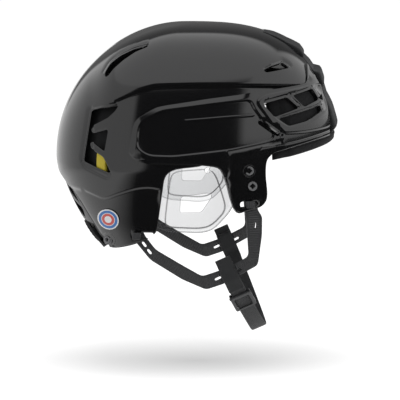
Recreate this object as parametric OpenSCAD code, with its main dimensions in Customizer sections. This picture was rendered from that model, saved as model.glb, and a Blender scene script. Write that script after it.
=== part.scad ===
// Ice hockey helmet in two sliding halves, with liners, clear ear guards,
// an occipital dial that drives two racks, ear loops and a chin strap.
// X points forwards, Y to the wearer's left, Z up. The origin is the middle
// of the head opening, level with the edge of the brow.

/* [Shell] */
// Length of the shell without its raised parts
shell_l = 269; // [240:1:300]
// Width of the shell without its raised parts
shell_w = 210; // [190:1:230]
// Height from the nape edge to the crown
shell_h = 217.5; // [195:0.5:240]
// Thickness of the moulded shell
wall = 3; // [2.4:0.1:3.6]
// Depth of the sunk border of the rear vents
well_depth = 1.6; // [0.8:0.1:1.8]
// How far the frame round the front vents stands proud
frame_rise = 0.9; // [0.4:0.1:1.4]
// How far the crown stands proud of the channel beside it
dome_rise = 3.5; // [2:0.5:5]
// Depth of the plain panel that is sunk into the side band
panel_depth = 1.2; // [0.6:0.1:1.6]
// Radius of the rounded corners of the front and top vents
vent_r = 1.6; // [0.8:0.1:2.4]

/* [Padding] */
// Thickness of the crown and rear liners
liner_t = 14; // [8:1:18]
// Thickness of the temple and brow liners
front_liner_t = 11; // [8:1:14]
// Thickness of the impact pods behind the rear vents
pod_t = 5; // [3:0.5:6]
// Thickness of the sweatband
sweatband_t = 3; // [2:0.5:4]

/* [Ear guards] */
// Thickness of the clear sheet
guard_t = 2; // [1.5:0.1:2.4]
// Radius of the rivets that hold it
rivet_r = 2.4; // [2:0.1:3]

/* [Visor nuts] */
// Distance between the two nuts of a side
nut_pitch = 15; // [14:0.5:18]
// Radius of the hole for the visor screw
nut_bore_r = 2.1; // [1.6:0.1:2.4]
// Radius of the visible ring
nut_ring_r = 4.3; // [3.8:0.1:4.6]
// Length of the nut through the shell
nut_l = 5.5; // [5:0.1:6]

/* [Straps] */
// Thickness of the moulded ear loops
loop_t = 2; // [1.6:0.1:2.4]
// Distance from the middle of the helmet to the middle of an ear loop
loop_y = 78.4; // [77:0.1:79]
// Width of the chin webbing
web_w = 15.5; // [14:0.5:18]
// Thickness of the chin webbing
web_t = 1.6; // [1.2:0.1:1.8]
// Drop of the chin webbing below the ear loops
web_drop = 83; // [70:1:95]
// Length of the buckle along the webbing
buckle_l = 22; // [18:1:26]

/* [Occipital dial] */
// Radius of the dial
dial_r = 13; // [11:0.5:15]
// Thickness of the dial
dial_t = 5; // [4:0.5:7]
// Number of teeth on the pinion
pinion_teeth = 12; // [10:2:16]
// Size of a tooth: pitch diameter over the number of teeth
tooth_module = 1; // [0.9:0.05:1.1]
// Thickness of the racks and the pinion
gear_t = 2.4; // [1.6:0.1:3]

/* [Hidden] */

overrun = 40;
gap = 0.3;
foam_gap = 0.6;
unit_l = shell_l / 100;
unit_w = shell_w / 100;
unit_h = shell_h / 100;

// Egg-shaped plan of the shell, widest behind the ears
front_reach_share = 0.4907;
widest_share = -0.149;
plan_power = 2.25;
front_reach = front_reach_share * shell_l;
widest_x = widest_share * shell_l;
front_axis = front_reach - widest_x;
rear_axis = shell_l - front_reach + widest_x;
half_w = shell_w / 2;

// Upright section: a dome over widest_z and walls that draw in below it
widest_z = -6.9 * unit_h;
dome_h = 59.1 * unit_h;
low_h = 41 * unit_h;
front_power = 2.65;
side_power = 2.4;
rear_power = 2.07;
rear_taper_share = 0.846;
side_taper_share = 1.8;
rear_taper_run = rear_taper_share * shell_h;
side_taper_run = side_taper_share * shell_h;

function spow(v, p) = sign(v) * pow(abs(v), p);
function smooth(v) = let (c = max(0, min(1, v))) c * c * (3 - 2 * c);
function rearness(t) = cos(t) < 0 ? pow(cos(t), 2) : 0;
function frontness(t) = cos(t) > 0 ? pow(cos(t), 2) : 0;
function power_at(t) = side_power + (front_power - side_power) * frontness(t)
    + (rear_power - side_power) * rearness(t);
function draw_in(t, u) = 1 - (1 - rearness(t)) * pow(u / side_taper_run, 1.2)
    - rearness(t) * pow(u / rear_taper_run, 1.6);
// v runs from -1 at the nape edge through 0 at the widest level to 1 at the crown
function level(v, off) = v < 0 ? widest_z + v * low_h : widest_z + (dome_h + off) * sin(90 * v);
function shrink(t, v) = v < 0 ? draw_in(t, -v * low_h)
    : pow(max(0, 1 - pow(sin(90 * v), power_at(t))), 1 / power_at(t));
function plan(t, off) = [
    widest_x + ((cos(t) > 0 ? front_axis : rear_axis) + off) * spow(cos(t), 2 / plan_power),
    (half_w + off) * spow(sin(t), 2 / plan_power)];
function skin(t, v, off) = let (p = shrink(t, v) * plan(t, off)) [p[0], p[1], level(v, off)];

// Half-width of the skin at a place in the side view, found by a few rounds of the plan's angle
function level_at(z, off) = z < widest_z ? (z - widest_z) / low_h
    : asin(min(1, (z - widest_z) / (dome_h + off))) / 90;
function plan_angle(x, f, off) =
    let (axis = (x / f > widest_x ? front_axis : rear_axis) + off, r = (x / f - widest_x) / axis)
    acos(spow(max(-1, min(1, r)), plan_power / 2));
function side_y(x, z, off, t = 90, n = 5) = let (f = shrink(t, level_at(z, off)))
    n == 0 ? f * plan(t, off)[1] : side_y(x, z, off, plan_angle(x, f, off), n - 1);

function share_x(p) = p[0] / unit_l;
function share_z(p) = p[2] / unit_h;

// Raised crown over the shoulder line, which falls towards both ends
shoulder_share = 32.2;
shoulder_fall_share = 0.0017;
shoulder_blend_share = 2.5;
dome_back_share = -38;
dome_fade_share = 10;
function shoulder_at(x_share) = shoulder_share - shoulder_fall_share * x_share * x_share;
function rear_out(p) = dome_rise
    * smooth((share_z(p) - shoulder_at(share_x(p))) / shoulder_blend_share + 0.5)
    * smooth((share_x(p) - dome_back_share) / dome_fade_share);

// The band stands off the rear shell; its gap opens at the rear end so that it can slide forwards
slide_travel = 12;
band_gap = 0.4;
band_gap_rear = 2;
band_rise = band_gap + wall;
leg_rise = 0.2;
band_open_share = -12;
band_open_run_share = 11;
band_foot_share = -2.2;
band_foot_climb = 0.19;
band_foot_from_share = 4.5;
band_foot_run_share = 3;
band_foot_climb_run_share = 20;
forehead_share = 26.8;
forehead_run_share = 4;
band_end_share = 12;
band_end_run_share = 2.4;
function band_in(p) = band_gap
    + (band_gap_rear - band_gap) * smooth((band_open_share - share_x(p)) / band_open_run_share);
function band_out(p) = band_in(p) + wall;
function band_foot(p) = band_foot_share
    + band_foot_climb * max(0, min(band_foot_climb_run_share, share_x(p) - band_foot_from_share));
function leg_mix(p) = max(smooth((share_z(p) - band_foot(p)) / band_foot_run_share),
    smooth((share_x(p) - forehead_share) / forehead_run_share),
    smooth((band_end_share - share_x(p)) / band_end_run_share));
function front_out(p) = leg_rise + (band_out(p) - leg_rise) * leg_mix(p);
function front_in(p) = front_out(p) - wall;

// Points of a grid are numbered row by row, m to a row; a ring's last column is its first again
function cell(i, j, first, m) = first + i * m + j % m;
function row_of(i, cols, first, m) = [for (j = [0 : cols]) cell(i, j, first, m)];
function column_of(j, rows, first, m) = [for (i = [0 : rows]) cell(i, j, first, m)];
function grid_faces(rows, cols, first, m, turned) = [for (i = [0 : rows - 1]) for (j = [0 : cols - 1])
    let (a = cell(i, j, first, m), b = cell(i + 1, j, first, m), c = cell(i, j + 1, first, m),
        d = cell(i + 1, j + 1, first, m))
    each turned ? [[a, c, b], [b, c, d]] : [[a, b, c], [b, d, c]]];
function rim_faces(p, q) = [for (k = [0 : len(p) - 2])
    each [[p[k], p[k + 1], q[k]], [q[k], p[k + 1], q[k + 1]]]];

// Closed sheet between an outer and an inner grid of points
module sheet_between(outer, inner, rows, cols) {
    m = cols + 1;
    n = m * (rows + 1);
    polyhedron(concat(outer, inner), concat(
        grid_faces(rows, cols, 0, m, false), grid_faces(rows, cols, n, m, true),
        rim_faces(row_of(0, cols, 0, m), row_of(0, cols, n, m)),
        rim_faces(row_of(rows, cols, n, m), row_of(rows, cols, 0, m)),
        rim_faces(column_of(0, rows, n, m), column_of(0, rows, 0, m)),
        rim_faces(column_of(cols, rows, 0, m), column_of(cols, rows, n, m))), convexity = 6);
}

// Closed cap between an outer and an inner set of rings, each set with its crown point last
module cap_between(outer, inner, rows, cols) {
    n = rows * cols + 1;
    function fan(first, turned) = [for (j = [0 : cols - 1])
        let (a = cell(rows - 1, j, first, cols), b = cell(rows - 1, j + 1, first, cols),
            top = first + n - 1)
        turned ? [a, b, top] : [a, top, b]];
    polyhedron(concat(outer, inner), concat(
        grid_faces(rows - 1, cols, 0, cols, false), grid_faces(rows - 1, cols, n, cols, true),
        fan(0, false), fan(n, true),
        rim_faces(row_of(0, cols, 0, cols), row_of(0, cols, n, cols))), convexity = 8);
}

// Rings of the skin from a level up to the crown, open below
function rings(v_low, cols, rows, off) = concat([for (i = [0 : rows - 1])
    let (v = v_low + (1 - v_low) * i / rows) for (j = [0 : cols - 1]) skin(360 * j / cols, v, off)],
    [skin(0, 1, off)]);
function kind_rings(v_low, cols, rows, kind) = concat([for (i = [0 : rows - 1])
    let (v = v_low + (1 - v_low) * i / rows) for (j = [0 : cols - 1])
    let (t = 360 * j / cols) skin(t, v, offset_of(kind, skin(t, v, 0)))],
    [skin(0, 1, offset_of(kind, skin(0, 1, 0)))]);
module ring_shell(outer_kind, v_low, cols, rows) {
    cap_between(kind_rings(v_low, cols, rows, outer_kind),
        kind_rings(v_low, cols, rows, outer_kind + 1), rows, cols);
}

// Offsets of the named surfaces from the base skin
REAR = 0;
FRONT = 2;
PANEL = 4;
WELL = 6;
FRAME = 8;
function offset_of(kind, p) = kind == 0 ? rear_out(p)
    : kind == 1 ? rear_out(p) - wall
    : kind == 2 ? front_out(p)
    : kind == 3 ? front_in(p)
    : kind == 4 ? front_out(p) + wall
    : kind == 5 ? front_out(p) - panel_depth
    : kind == 6 ? rear_out(p) + wall
    : kind == 7 ? rear_out(p) - well_depth
    : kind == 8 ? front_out(p) + frame_rise
    : front_out(p) - wall / 2;

// Closed patch of the skin; its span is two plan angles and two levels
function span_grid(span, off, cols, rows) = [for (i = [0 : rows]) for (j = [0 : cols])
    skin(span[0] + (span[1] - span[0]) * j / cols, span[2] + (span[3] - span[2]) * i / rows, off)];
module patch(span, off_out, off_in, cols, rows) {
    sheet_between(span_grid(span, off_out, cols, rows), span_grid(span, off_in, cols, rows), rows, cols);
}

// Side views are written in hundredths of the shell's length and height
function side_view(shares) = [for (s = shares) [s[0] * unit_l, s[1] * unit_h]];
// Views from behind are written in hundredths of its width and height
function back_view(shares) = [for (s = shares) [s[0] * unit_w, s[1] * unit_h]];
module side_prism(shares, y0, y1) {
    translate([0, y1, 0]) rotate([90, 0, 0]) linear_extrude(y1 - y0) polygon(side_view(shares));
}
module all_but(shares) {
    difference() {
        translate([-shell_l, -shell_w, -shell_h]) cube([2 * shell_l, 2 * shell_w, 2 * shell_h]);
        side_prism(shares, -shell_w, shell_w);
    }
}
module both_sides() {
    children();
    mirror([0, 1, 0]) children();
}
// A vent with round corners, cut from inside out through one side
module vent(shares) {
    hull() for (q = side_view(shares)) translate([q[0], 0, q[1]]) rotate([-90, 0, 0])
        translate([0, 0, vent_start]) cylinder(r = vent_r, h = half_w, $fn = 12);
}
vent_start = 20;

rear_outline_shares = [[37.9, 69], [38.3, 28.6], [22.3, 26.9], [22.3, 25.7], [18.6, 21.1], [5.2, 19.3],
    [4.2, -1.4], [2.9, -5.1], [-8, -6.4], [-11, -9.2], [-11.7, -14.7], [-13.4, -29.4], [-13.8, -34.5],
    [-16.4, -37.2], [-21.6, -40.5], [-28.6, -43.2], [-33.5, -44.6], [-59.5, -44.6], [-59.5, 69]];
front_outline_shares = [[-21.6, 14.7], [-14.5, 20.2], [-11.5, 21.1], [4.5, 23.9], [23, 26.2], [37.7, 27.7],
    [39, 28.5], [39.4, 41.4], [59.5, 41.4], [59.5, 4.1], [48.7, 4.1], [42, 3.2], [33.8, 1.4], [28.3, 0],
    [26.4, -1.4], [24.9, -3.7], [24.7, -10.1], [25.5, -18.4], [25.1, -22.1], [22.9, -24.8], [17.1, -26.2],
    [14.9, -27.1], [13, -25.7], [10, -14], [8.2, -7.8], [6.3, -4.1], [4.5, -1.8], [-18.6, -3.7], [-23.8, 0]];
panel_shares = [[-20.8, 2.8], [-20.3, 11.6], [-18.8, 14.2], [-12.2, 18.6], [4.5, 21.1], [18.3, 22.7],
    [19.8, 18.6], [26.9, 7.4], [25.4, 4.6], [11.5, 1.4], [-8.6, -1], [-16.8, -0.6]];
// Raised frame round the front vents and the floor within it
frame_shares = [[19.6, 21.2], [22.7, 23.9], [32.6, 25.4], [42.4, 26.4], [44.7, 24.6], [46.4, 15.2],
    [47.2, 7.4], [36.2, 7], [29, 7.3], [26.2, 10.1]];
frame_floor_shares = [[22, 21.7], [32, 24], [41.6, 26], [44.2, 22.6], [44.9, 14.8], [38.7, 11], [31.4, 9.8],
    [27, 13.4]];
front_vent_shares = [
    [[23.4, 20.6], [31.4, 22.2], [35.2, 17.8], [27, 15.7]],
    [[33.9, 23], [40.3, 24.8], [42.6, 20.6], [37.9, 18.8]],
    [[29.2, 13.9], [43.3, 17.2], [43.5, 15.5], [38.7, 12.8], [32.3, 11.4]],
    [[21.9, 13.3], [28.3, 7.4]]];
// Rear vent: one opening, into which two ribs reach from its front border
rear_vent_shares = [[-37.6, 18], [-27.4, 21], [-28.6, 18.6], [-31.2, 15.6], [-36.6, 11.8], [-37.8, 9.9],
    [-37, 8.2], [-31.4, 10.6], [-31.2, 9.6], [-32.5, 0.9], [-37.2, 4.9], [-38.2, 3.8], [-37.6, 1.7],
    [-33.2, -1.4], [-30.5, -7.9], [-31.2, -8.6], [-40.5, -4.4]];
// Sunk border under and behind it
vent_well_shares = [[-41.3, -4], [-39.5, -7.4], [-31, -11.6], [-29.6, -9], [-32.6, -1.5], [-36, 0], [-36, 19],
    [-38.4, 19]];
// Crescent slit beside the back of the crown: places along it and its half-widths
slit_shares = [[-31.6, 32.6], [-29.4, 36.2], [-25.6, 40], [-20.6, 43.4], [-15.6, 45.6]];
slit_half_w = [2.2, 2.4, 2, 1.2, 0.5];
module slit() {
    q = side_view(slit_shares);
    for (i = [0 : len(q) - 2]) hull() for (j = [i, i + 1]) translate([q[j][0], 0, q[j][1]])
        rotate([-90, 0, 0]) translate([0, 0, vent_start])
            cylinder(r = slit_half_w[j], h = half_w, $fn = 12);
}
top_vent_shares = [[23.4, 34.3], [29.5, 36.2], [31.8, 34.6], [24.2, 33.7]];

// Arch cut out of the back of the rear shell for the occipital adjuster, seen from behind
nape_arch_shares = [[0, -12], [19.1, -14.7], [26.1, -18.9], [31, -24.4], [33.3, -33.1], [34.3, -39.5],
    [35.7, -47.8]];
nape_arch_depth_share = 26;

module nape_arch() {
    half = back_view(nape_arch_shares);
    other = [for (i = [len(half) - 1 : -1 : 1]) [-half[i][0], half[i][1]]];
    translate([-nape_arch_depth_share * unit_l, 0, 0]) rotate([90, 0, -90])
        linear_extrude(shell_l) polygon(concat(half, other));
}

// Slots for the ear loops
slot_h = 5.4;
slot_w = 17;
front_slot_x = 18.8 * unit_l;
front_slot_z = -22.8 * unit_h;
rear_slot_x = -19.1 * unit_l;
rear_slot_z = -36.3 * unit_h;
rear_slot_w = 21;
module slot_cut(x, z, w) {
    for (s = [-1, 1]) translate([x - w / 2, s > 0 ? loop_y - loop_t : -half_w, z - slot_h / 2])
        cube([w, half_w - loop_y + loop_t, slot_h]);
}

// Corner screws at the rear lower corners of the shell
screw_r = 4.4;
screw_shank_r = 2.2;
screw_x = -31.6 * unit_l;
screw_z = -39.9 * unit_h;
screw_y = side_y(screw_x, screw_z, 0);
screw_yaw = 45;
screw_pitch = 26;
screw_seat = 0.9;
// Square to the skin at the screw, Z outwards
module screw_frame() {
    both_sides() translate([screw_x, screw_y, screw_z]) rotate([0, 0, screw_yaw])
        rotate([-90 - screw_pitch, 0, 0]) children();
}

module rear_shell() {
    color([0.05, 0.05, 0.055]) difference() {
        ring_shell(REAR, -1, 52, 22);
        all_but(rear_outline_shares);
        nape_arch();
        intersection() {
            ring_shell(WELL, -0.2, 52, 12);
            side_prism(vent_well_shares, -shell_w, shell_w);
        }
        both_sides() {
            side_prism(rear_vent_shares, vent_start, shell_w);
            vent(top_vent_shares);
            slit();
        }
        slot_cut(rear_slot_x, rear_slot_z, rear_slot_w);
        screw_frame() {
            translate([0, 0, -overrun / 2]) cylinder(r = screw_shank_r + gap, h = overrun, $fn = 24);
            translate([0, 0, -screw_seat]) cylinder(r = screw_r + gap, h = overrun, $fn = 36);
        }
    }
}

module front_shell() {
    color([0.05, 0.05, 0.055]) difference() {
        union() {
            ring_shell(FRONT, -0.5, 52, 17);
            intersection() {
                ring_shell(FRAME, -0.2, 52, 12);
                difference() {
                    side_prism(frame_shares, -shell_w, shell_w);
                    side_prism(frame_floor_shares, -shell_w, shell_w);
                }
            }
        }
        all_but(front_outline_shares);
        intersection() {
            ring_shell(PANEL, -0.2, 52, 12);
            side_prism(panel_shares, -shell_w, shell_w);
        }
        both_sides() for (s = front_vent_shares) vent(s);
        slot_cut(front_slot_x, front_slot_z, slot_w);
        nut_seats();
        rivet_frame() translate([0, 0, gap - overrun]) cylinder(r = rivet_r + gap, h = overrun, $fn = 24);
    }
}

// Visor nuts on the temple legs, on axes square to the helmet's middle plane
nut_mid_x = 18.9 * unit_l;
nut_mid_z = -11.2 * unit_h;
nut_tilt = -12.5;
nut_y = side_y(nut_mid_x, nut_mid_z, leg_rise);
nut_barrel_r = 3.2;
nut_flange_t = 1.6;
module nut_frame() {
    both_sides() translate([nut_mid_x, 0, nut_mid_z]) rotate([0, nut_tilt, 0])
        for (s = [-1, 1]) translate([0, nut_y, s * nut_pitch / 2]) rotate([-90, 0, 0]) children();
}
module nut_seats() {
    nut_frame() {
        translate([0, 0, -overrun / 2]) cylinder(r = nut_barrel_r + gap, h = overrun, $fn = 32);
        translate([0, 0, -nut_flange_t]) cylinder(r = nut_ring_r + gap, h = overrun, $fn = 32);
    }
}
module visor_nuts() {
    color([0.12, 0.12, 0.13]) nut_frame() difference() {
        union() {
            translate([0, 0, gap - nut_flange_t]) cylinder(r = nut_ring_r, h = nut_flange_t, $fn = 48);
            translate([0, 0, gap - nut_l]) cylinder(r = nut_barrel_r, h = nut_l, $fn = 48);
        }
        translate([0, 0, -overrun / 2]) cylinder(r = nut_bore_r, h = overrun, $fn = 48);
    }
}

// Matte insert down the middle of the forehead, in overlapping steps
insert_t = 3;
insert_step = 2.4;
insert_z_shares = [4.2, 16, 21, 29.5, 32.5, 37.5, 40.5, 43.5, 46, 48.5];
insert_rise_shares = [0.2, 1, 0.3, 1, 0.2, 1, 0.1, 0.6, 0.4, 0];
insert_in = max(dome_rise, band_rise) + 2 * gap;
function insert_out(v) = insert_in + insert_t + insert_step * lookup(level(v, 0) / unit_h,
    [for (i = [0 : len(insert_z_shares) - 1]) [insert_z_shares[i], insert_rise_shares[i]]]);
insert_half_angle = 14;
insert_widening = 0.35;
module center_insert() {
    cols = 8;
    vs = [for (z = insert_z_shares) asin((z * unit_h - widest_z) / dome_h) / 90];
    rows = len(vs) - 1;
    function across(j) = 2 * j / cols - 1;
    function angle(i, j) = insert_half_angle * (1 + insert_widening * smooth(2 * vs[i] - 1)) * across(j);
    outer = [for (i = [0 : rows]) for (j = [0 : cols])
        skin(angle(i, j), vs[i], insert_out(vs[i]) - insert_step * pow(across(j), 4) / 2)];
    inner = [for (i = [0 : rows]) for (j = [0 : cols]) skin(angle(i, j), vs[i], insert_in)];
    color([0.09, 0.09, 0.095]) sheet_between(outer, inner, rows, cols);
}

// Liners: patches of foam under the shell
under = -wall - gap;
foam_under = -wall - foam_gap;
crown_liner_level = 0.5;
crown_liner_front_share = 26;
module crown_liner() {
    cols = 24;
    rows = 5;
    color([0.1, 0.1, 0.1]) intersection() {
        cap_between(rings(crown_liner_level, cols, rows, foam_under),
            rings(crown_liner_level, cols, rows, foam_under - liner_t), rows, cols);
        translate([-shell_l, -shell_w, 0])
            cube([shell_l + crown_liner_front_share * unit_l, 2 * shell_w, shell_h]);
    }
}
rear_liner_span = [104, 176, -0.3, 0.48];
impact_pod_span = [116.5, 123.5, -0.2, 0.08];
temple_liner_span = [58, 71, -0.26, 0.1];
brow_liner_span = [-46, 46, 0.07, 0.36];
brow_sweatband_span = [-48, 48, 0.07, 0.2];
nape_pad_span = [158, 202, -0.6, -0.33];
lattice_span = [130, 230, -0.66, -0.08];
guard_span = [56, 122, -0.9, 0.2];
module rear_liner() {
    patch(rear_liner_span, foam_under - pod_t - foam_gap, foam_under - pod_t - liner_t, 7, 5);
}
module rear_liner_left() {
    color([0.1, 0.1, 0.1]) rear_liner();
}
module rear_liner_right() {
    color([0.1, 0.1, 0.1]) mirror([0, 1, 0]) rear_liner();
}
module impact_pod() {
    patch(impact_pod_span, foam_under, foam_under - pod_t, 7, 5);
}
module impact_pod_left() {
    color([0.85, 0.78, 0.1]) impact_pod();
}
module impact_pod_right() {
    color([0.85, 0.78, 0.1]) mirror([0, 1, 0]) impact_pod();
}
module temple_liner() {
    patch(temple_liner_span, guard_in - foam_gap, guard_in - front_liner_t, 3, 5);
}
module temple_liner_left() {
    color([0.1, 0.1, 0.1]) temple_liner();
}
module temple_liner_right() {
    color([0.1, 0.1, 0.1]) mirror([0, 1, 0]) temple_liner();
}
module brow_liner() {
    color([0.1, 0.1, 0.1]) patch(brow_liner_span, band_gap - 2 * foam_gap, band_gap - front_liner_t, 14, 4);
}
module brow_sweatband() {
    color([0.07, 0.07, 0.075]) patch(brow_sweatband_span,
        band_gap - front_liner_t - foam_gap, band_gap - front_liner_t - sweatband_t - foam_gap, 14, 2);
}

// Occipital adjuster, in a frame whose Z leans out of the nape and whose X is the helmet's left
dial_x = -36.2 * unit_l;
dial_z = -40.2 * unit_h;
dial_lean = 125;
housing_t = 2;
housing_clear = 0.4;
housing_half_w = 44;
housing_half_h = 15.5;
grille_slots = 3;
grille_pitch = (housing_half_w - dial_r) / (grille_slots + 1);
pinion_r = pinion_teeth * tooth_module / 2;
rack_angle = 110;
rack_travel = pinion_r * rack_angle * PI / 180;
rack_w = 4.6;
module nape_frame() {
    translate([dial_x, 0, dial_z]) rotate([0, -dial_lean, 0]) rotate([0, 0, 90]) children();
}
// Half-width of a tooth and its height over the pitch line, at the root and at the tip, in modules
tooth_root = [0.78, -1.2] * tooth_module;
tooth_tip = [0.38, 0.95] * tooth_module;
pinion_hub_r = pinion_r - 1.1 * tooth_module;
module tooth_2d() {
    polygon([[-tooth_root[0], tooth_root[1]], [-tooth_tip[0], tooth_tip[1]],
        [tooth_tip[0], tooth_tip[1]], [tooth_root[0], tooth_root[1]]]);
}
shaft_r = 3;
grips = 18;
grip_r = 1.6;
rack_reach = pinion_r + tooth_module + rack_w;
module dial() {
    color([0.08, 0.08, 0.085]) nape_frame() {
        translate([0, 0, housing_t + gap]) difference() {
            cylinder(r = dial_r, h = dial_t, $fn = 72);
            for (i = [0 : grips - 1]) rotate(i * 360 / grips)
                translate([dial_r + grip_r / 2, 0, -overrun / 2]) cylinder(r = grip_r, h = overrun, $fn = 20);
        }
        translate([0, 0, -gear_t - housing_clear])
            cylinder(r = shaft_r, h = gear_t + housing_clear + housing_t + 2 * gap, $fn = 36);
        translate([0, 0, -gear_t - housing_clear]) linear_extrude(gear_t) {
            circle(r = pinion_hub_r, $fn = 48);
            for (i = [0 : pinion_teeth - 1]) rotate(i * 360 / pinion_teeth)
                translate([0, pinion_r]) tooth_2d();
        }
    }
}
rack_l = 40;
tooth_pitch = PI * tooth_module;
rack_lead = 2.5 * tooth_pitch;
rack_first_tooth = 1.5 * tooth_pitch;
rack_spare = 4 * tooth_module;
module rack() {
    teeth = floor((rack_travel + rack_spare) / tooth_pitch) + 3;
    root = pinion_r - tooth_root[1];
    tip = pinion_r - tooth_tip[1];
    profile = [for (i = [0 : teeth - 1]) let (x = i * tooth_pitch - rack_first_tooth)
        each [[x - tooth_root[0], root], [x - tooth_tip[0], tip],
            [x + tooth_tip[0], tip], [x + tooth_root[0], root]]];
    back = [[rack_l - rack_lead, root], [rack_l - rack_lead, rack_reach], [-rack_lead, rack_reach]];
    translate([0, 0, -gear_t - housing_clear]) linear_extrude(gear_t)
        polygon(concat([[-rack_lead, root]], profile, back));
}
module rack_left() {
    color([0.75, 0.75, 0.76]) nape_frame() rack();
}
module rack_right() {
    color([0.75, 0.75, 0.76]) nape_frame() rotate(180) rack();
}
housing_flat_half_w = 0.8 * housing_half_w;
module housing_plate(z0, t) {
    translate([0, 0, z0]) linear_extrude(t) polygon([
        [-housing_half_w, 0], [-housing_flat_half_w, -housing_half_h],
        [housing_flat_half_w, -housing_half_h], [housing_half_w, 0],
        [housing_flat_half_w, housing_half_h], [-housing_flat_half_w, housing_half_h]]);
}
module occipital_housing() {
    color([0.07, 0.07, 0.075]) nape_frame() difference() {
        housing_plate(0, housing_t);
        translate([0, 0, -overrun / 2]) cylinder(r = shaft_r + gap, h = overrun, $fn = 36);
        for (s = [-1, 1]) for (i = [1 : grille_slots])
            translate([s * (dial_r + i * grille_pitch), 0, -overrun / 2])
            linear_extrude(overrun) square([grille_pitch / 2, housing_half_h], center = true);
    }
}
module housing_cover() {
    color([0.07, 0.07, 0.075]) nape_frame() difference() {
        housing_plate(-gear_t - 2 * housing_clear - housing_t,
            gear_t + 2 * housing_clear + housing_t - gap);
        translate([-rack_l - rack_travel, -rack_reach - gap, -gear_t - 2 * housing_clear])
            cube([2 * (rack_l + rack_travel), 2 * (rack_reach + gap), overrun]);
    }
}
module nape_pad() {
    color([0.1, 0.1, 0.1])
        patch(nape_pad_span, under - lattice_t - foam_gap, under - lattice_t - nape_pad_t, 6, 4);
}
// Open lattice that closes the nape arch and carries the dial's housing
lattice_t = 2.6;
nape_pad_t = 9;
window_shares = [
    [[4.4, -13.8], [12.3, -15.4], [11, -19.8], [4.4, -19]],
    [[4.4, -21.6], [10.5, -22.4], [9, -27.6], [4.4, -27.4]],
    [[15.9, -16.6], [22.5, -19.6], [25.1, -24.6], [14.6, -21.2]],
    [[13.6, -24], [25.4, -27.6], [22.3, -32], [12, -28.6]]];
module occipital_lattice() {
    color([0.07, 0.07, 0.075]) difference() {
        patch(lattice_span, under, under - lattice_t, 16, 7);
        both_sides() for (w = window_shares) rotate([90, 0, -90])
            mirror([1, 0, 0]) linear_extrude(shell_l) polygon(back_view(w));
    }
}

// Clear ear guards behind the ear openings, set in so that they clear the rear shell when it slides
guard_set_in = 1.7;
guard_in = under - guard_set_in - guard_t;
guard_shares = [[-7.8, -4.6], [6, -3.2], [14.5, -4], [15.4, -20], [12.8, -26.7], [6.7, -34.5], [2.2, -35.9],
    [-10.4, -34.9], [-14.6, -33.1], [-13.4, -21.1], [-12.6, -8.1]];
guard_cut_shares = [[-5.2, -18.9], [5, -17.5], [6.2, -18.9], [2.2, -26.2], [-5.6, -26.2]];
module ear_guard() {
    difference() {
        intersection() {
            patch(guard_span, guard_in + guard_t, guard_in, 12, 7);
            side_prism(guard_shares, 0, shell_w);
        }
        side_prism(guard_cut_shares, 0, shell_w);
        rivet_frame() translate([0, 0, -overrun / 2]) cylinder(r = rivet_r + gap, h = overrun, $fn = 24);
    }
}
module ear_guard_left() {
    color([0.9, 0.92, 0.95, 0.4]) ear_guard();
}
module ear_guard_right() {
    color([0.9, 0.92, 0.95, 0.4]) mirror([0, 1, 0]) ear_guard();
}
rivet_cover = 1.2;
rivet_x = 12 * unit_l;
rivet_z = -7.4 * unit_h;
rivet_y = side_y(rivet_x, rivet_z, leg_rise) - rivet_cover;
rivet_l = 6.2;
module rivet_frame() {
    both_sides() translate([rivet_x, rivet_y, rivet_z]) rotate([-90, 0, 0]) children();
}
module ear_guard_rivets() {
    color([0.1, 0.1, 0.1]) rivet_frame() translate([0, 0, -rivet_l])
        cylinder(r = rivet_r, h = rivet_l, $fn = 32);
}
module corner_screws() {
    color([0.1, 0.1, 0.1]) screw_frame() difference() {
        translate([0, 0, gap - screw_seat]) {
            cylinder(r = screw_r, h = nut_flange_t, $fn = 40);
            translate([0, 0, -nut_l]) cylinder(r = screw_shank_r, h = nut_l, $fn = 32);
        }
        translate([0, 0, gap - screw_seat + nut_flange_t / 2])
            cylinder(r = screw_shank_r, h = overrun, $fn = 6);
    }
}

// Ear loops: flat moulded straps in upright planes
loop_shares = [[-22.7, -38.6], [-16.4, -48.3], [-5.2, -57], [3.3, -61.6], [9.7, -58.9], [21.6, -50.6],
    [23, -37.2], [23, -28.5], [20.8, -26.7], [20.8, -21.6], [17.1, -22.1], [17.1, -26.7], [17.5, -33.1],
    [18.2, -46], [17.3, -47.4], [13.8, -49.7], [7.8, -53.1], [1.9, -55.6], [-5.2, -50.6], [-14.5, -43.7],
    [-18.2, -37.7], [-19.3, -34.5], [-22.7, -35.9]];
peg_w = 8;
peg_t = 1.6;
peg_head_h = 6.6;
peg_clear = 0.8;
rear_peg_x = -21.2 * unit_l;
front_peg_out = side_y(front_slot_x - peg_w / 2, front_slot_z + peg_head_h / 2, leg_rise) + peg_clear;
rear_peg_out = side_y(rear_peg_x + slide_travel, rear_slot_z + peg_head_h / 2, 0) + peg_clear;
module peg(x, z, y_out) {
    translate([x - peg_w / 2, loop_y, z - peg_t / 2]) cube([peg_w, y_out - loop_y, peg_t]);
    translate([x - peg_w / 2, y_out, z - peg_head_h / 2]) cube([peg_w, peg_t, peg_head_h]);
}
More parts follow.
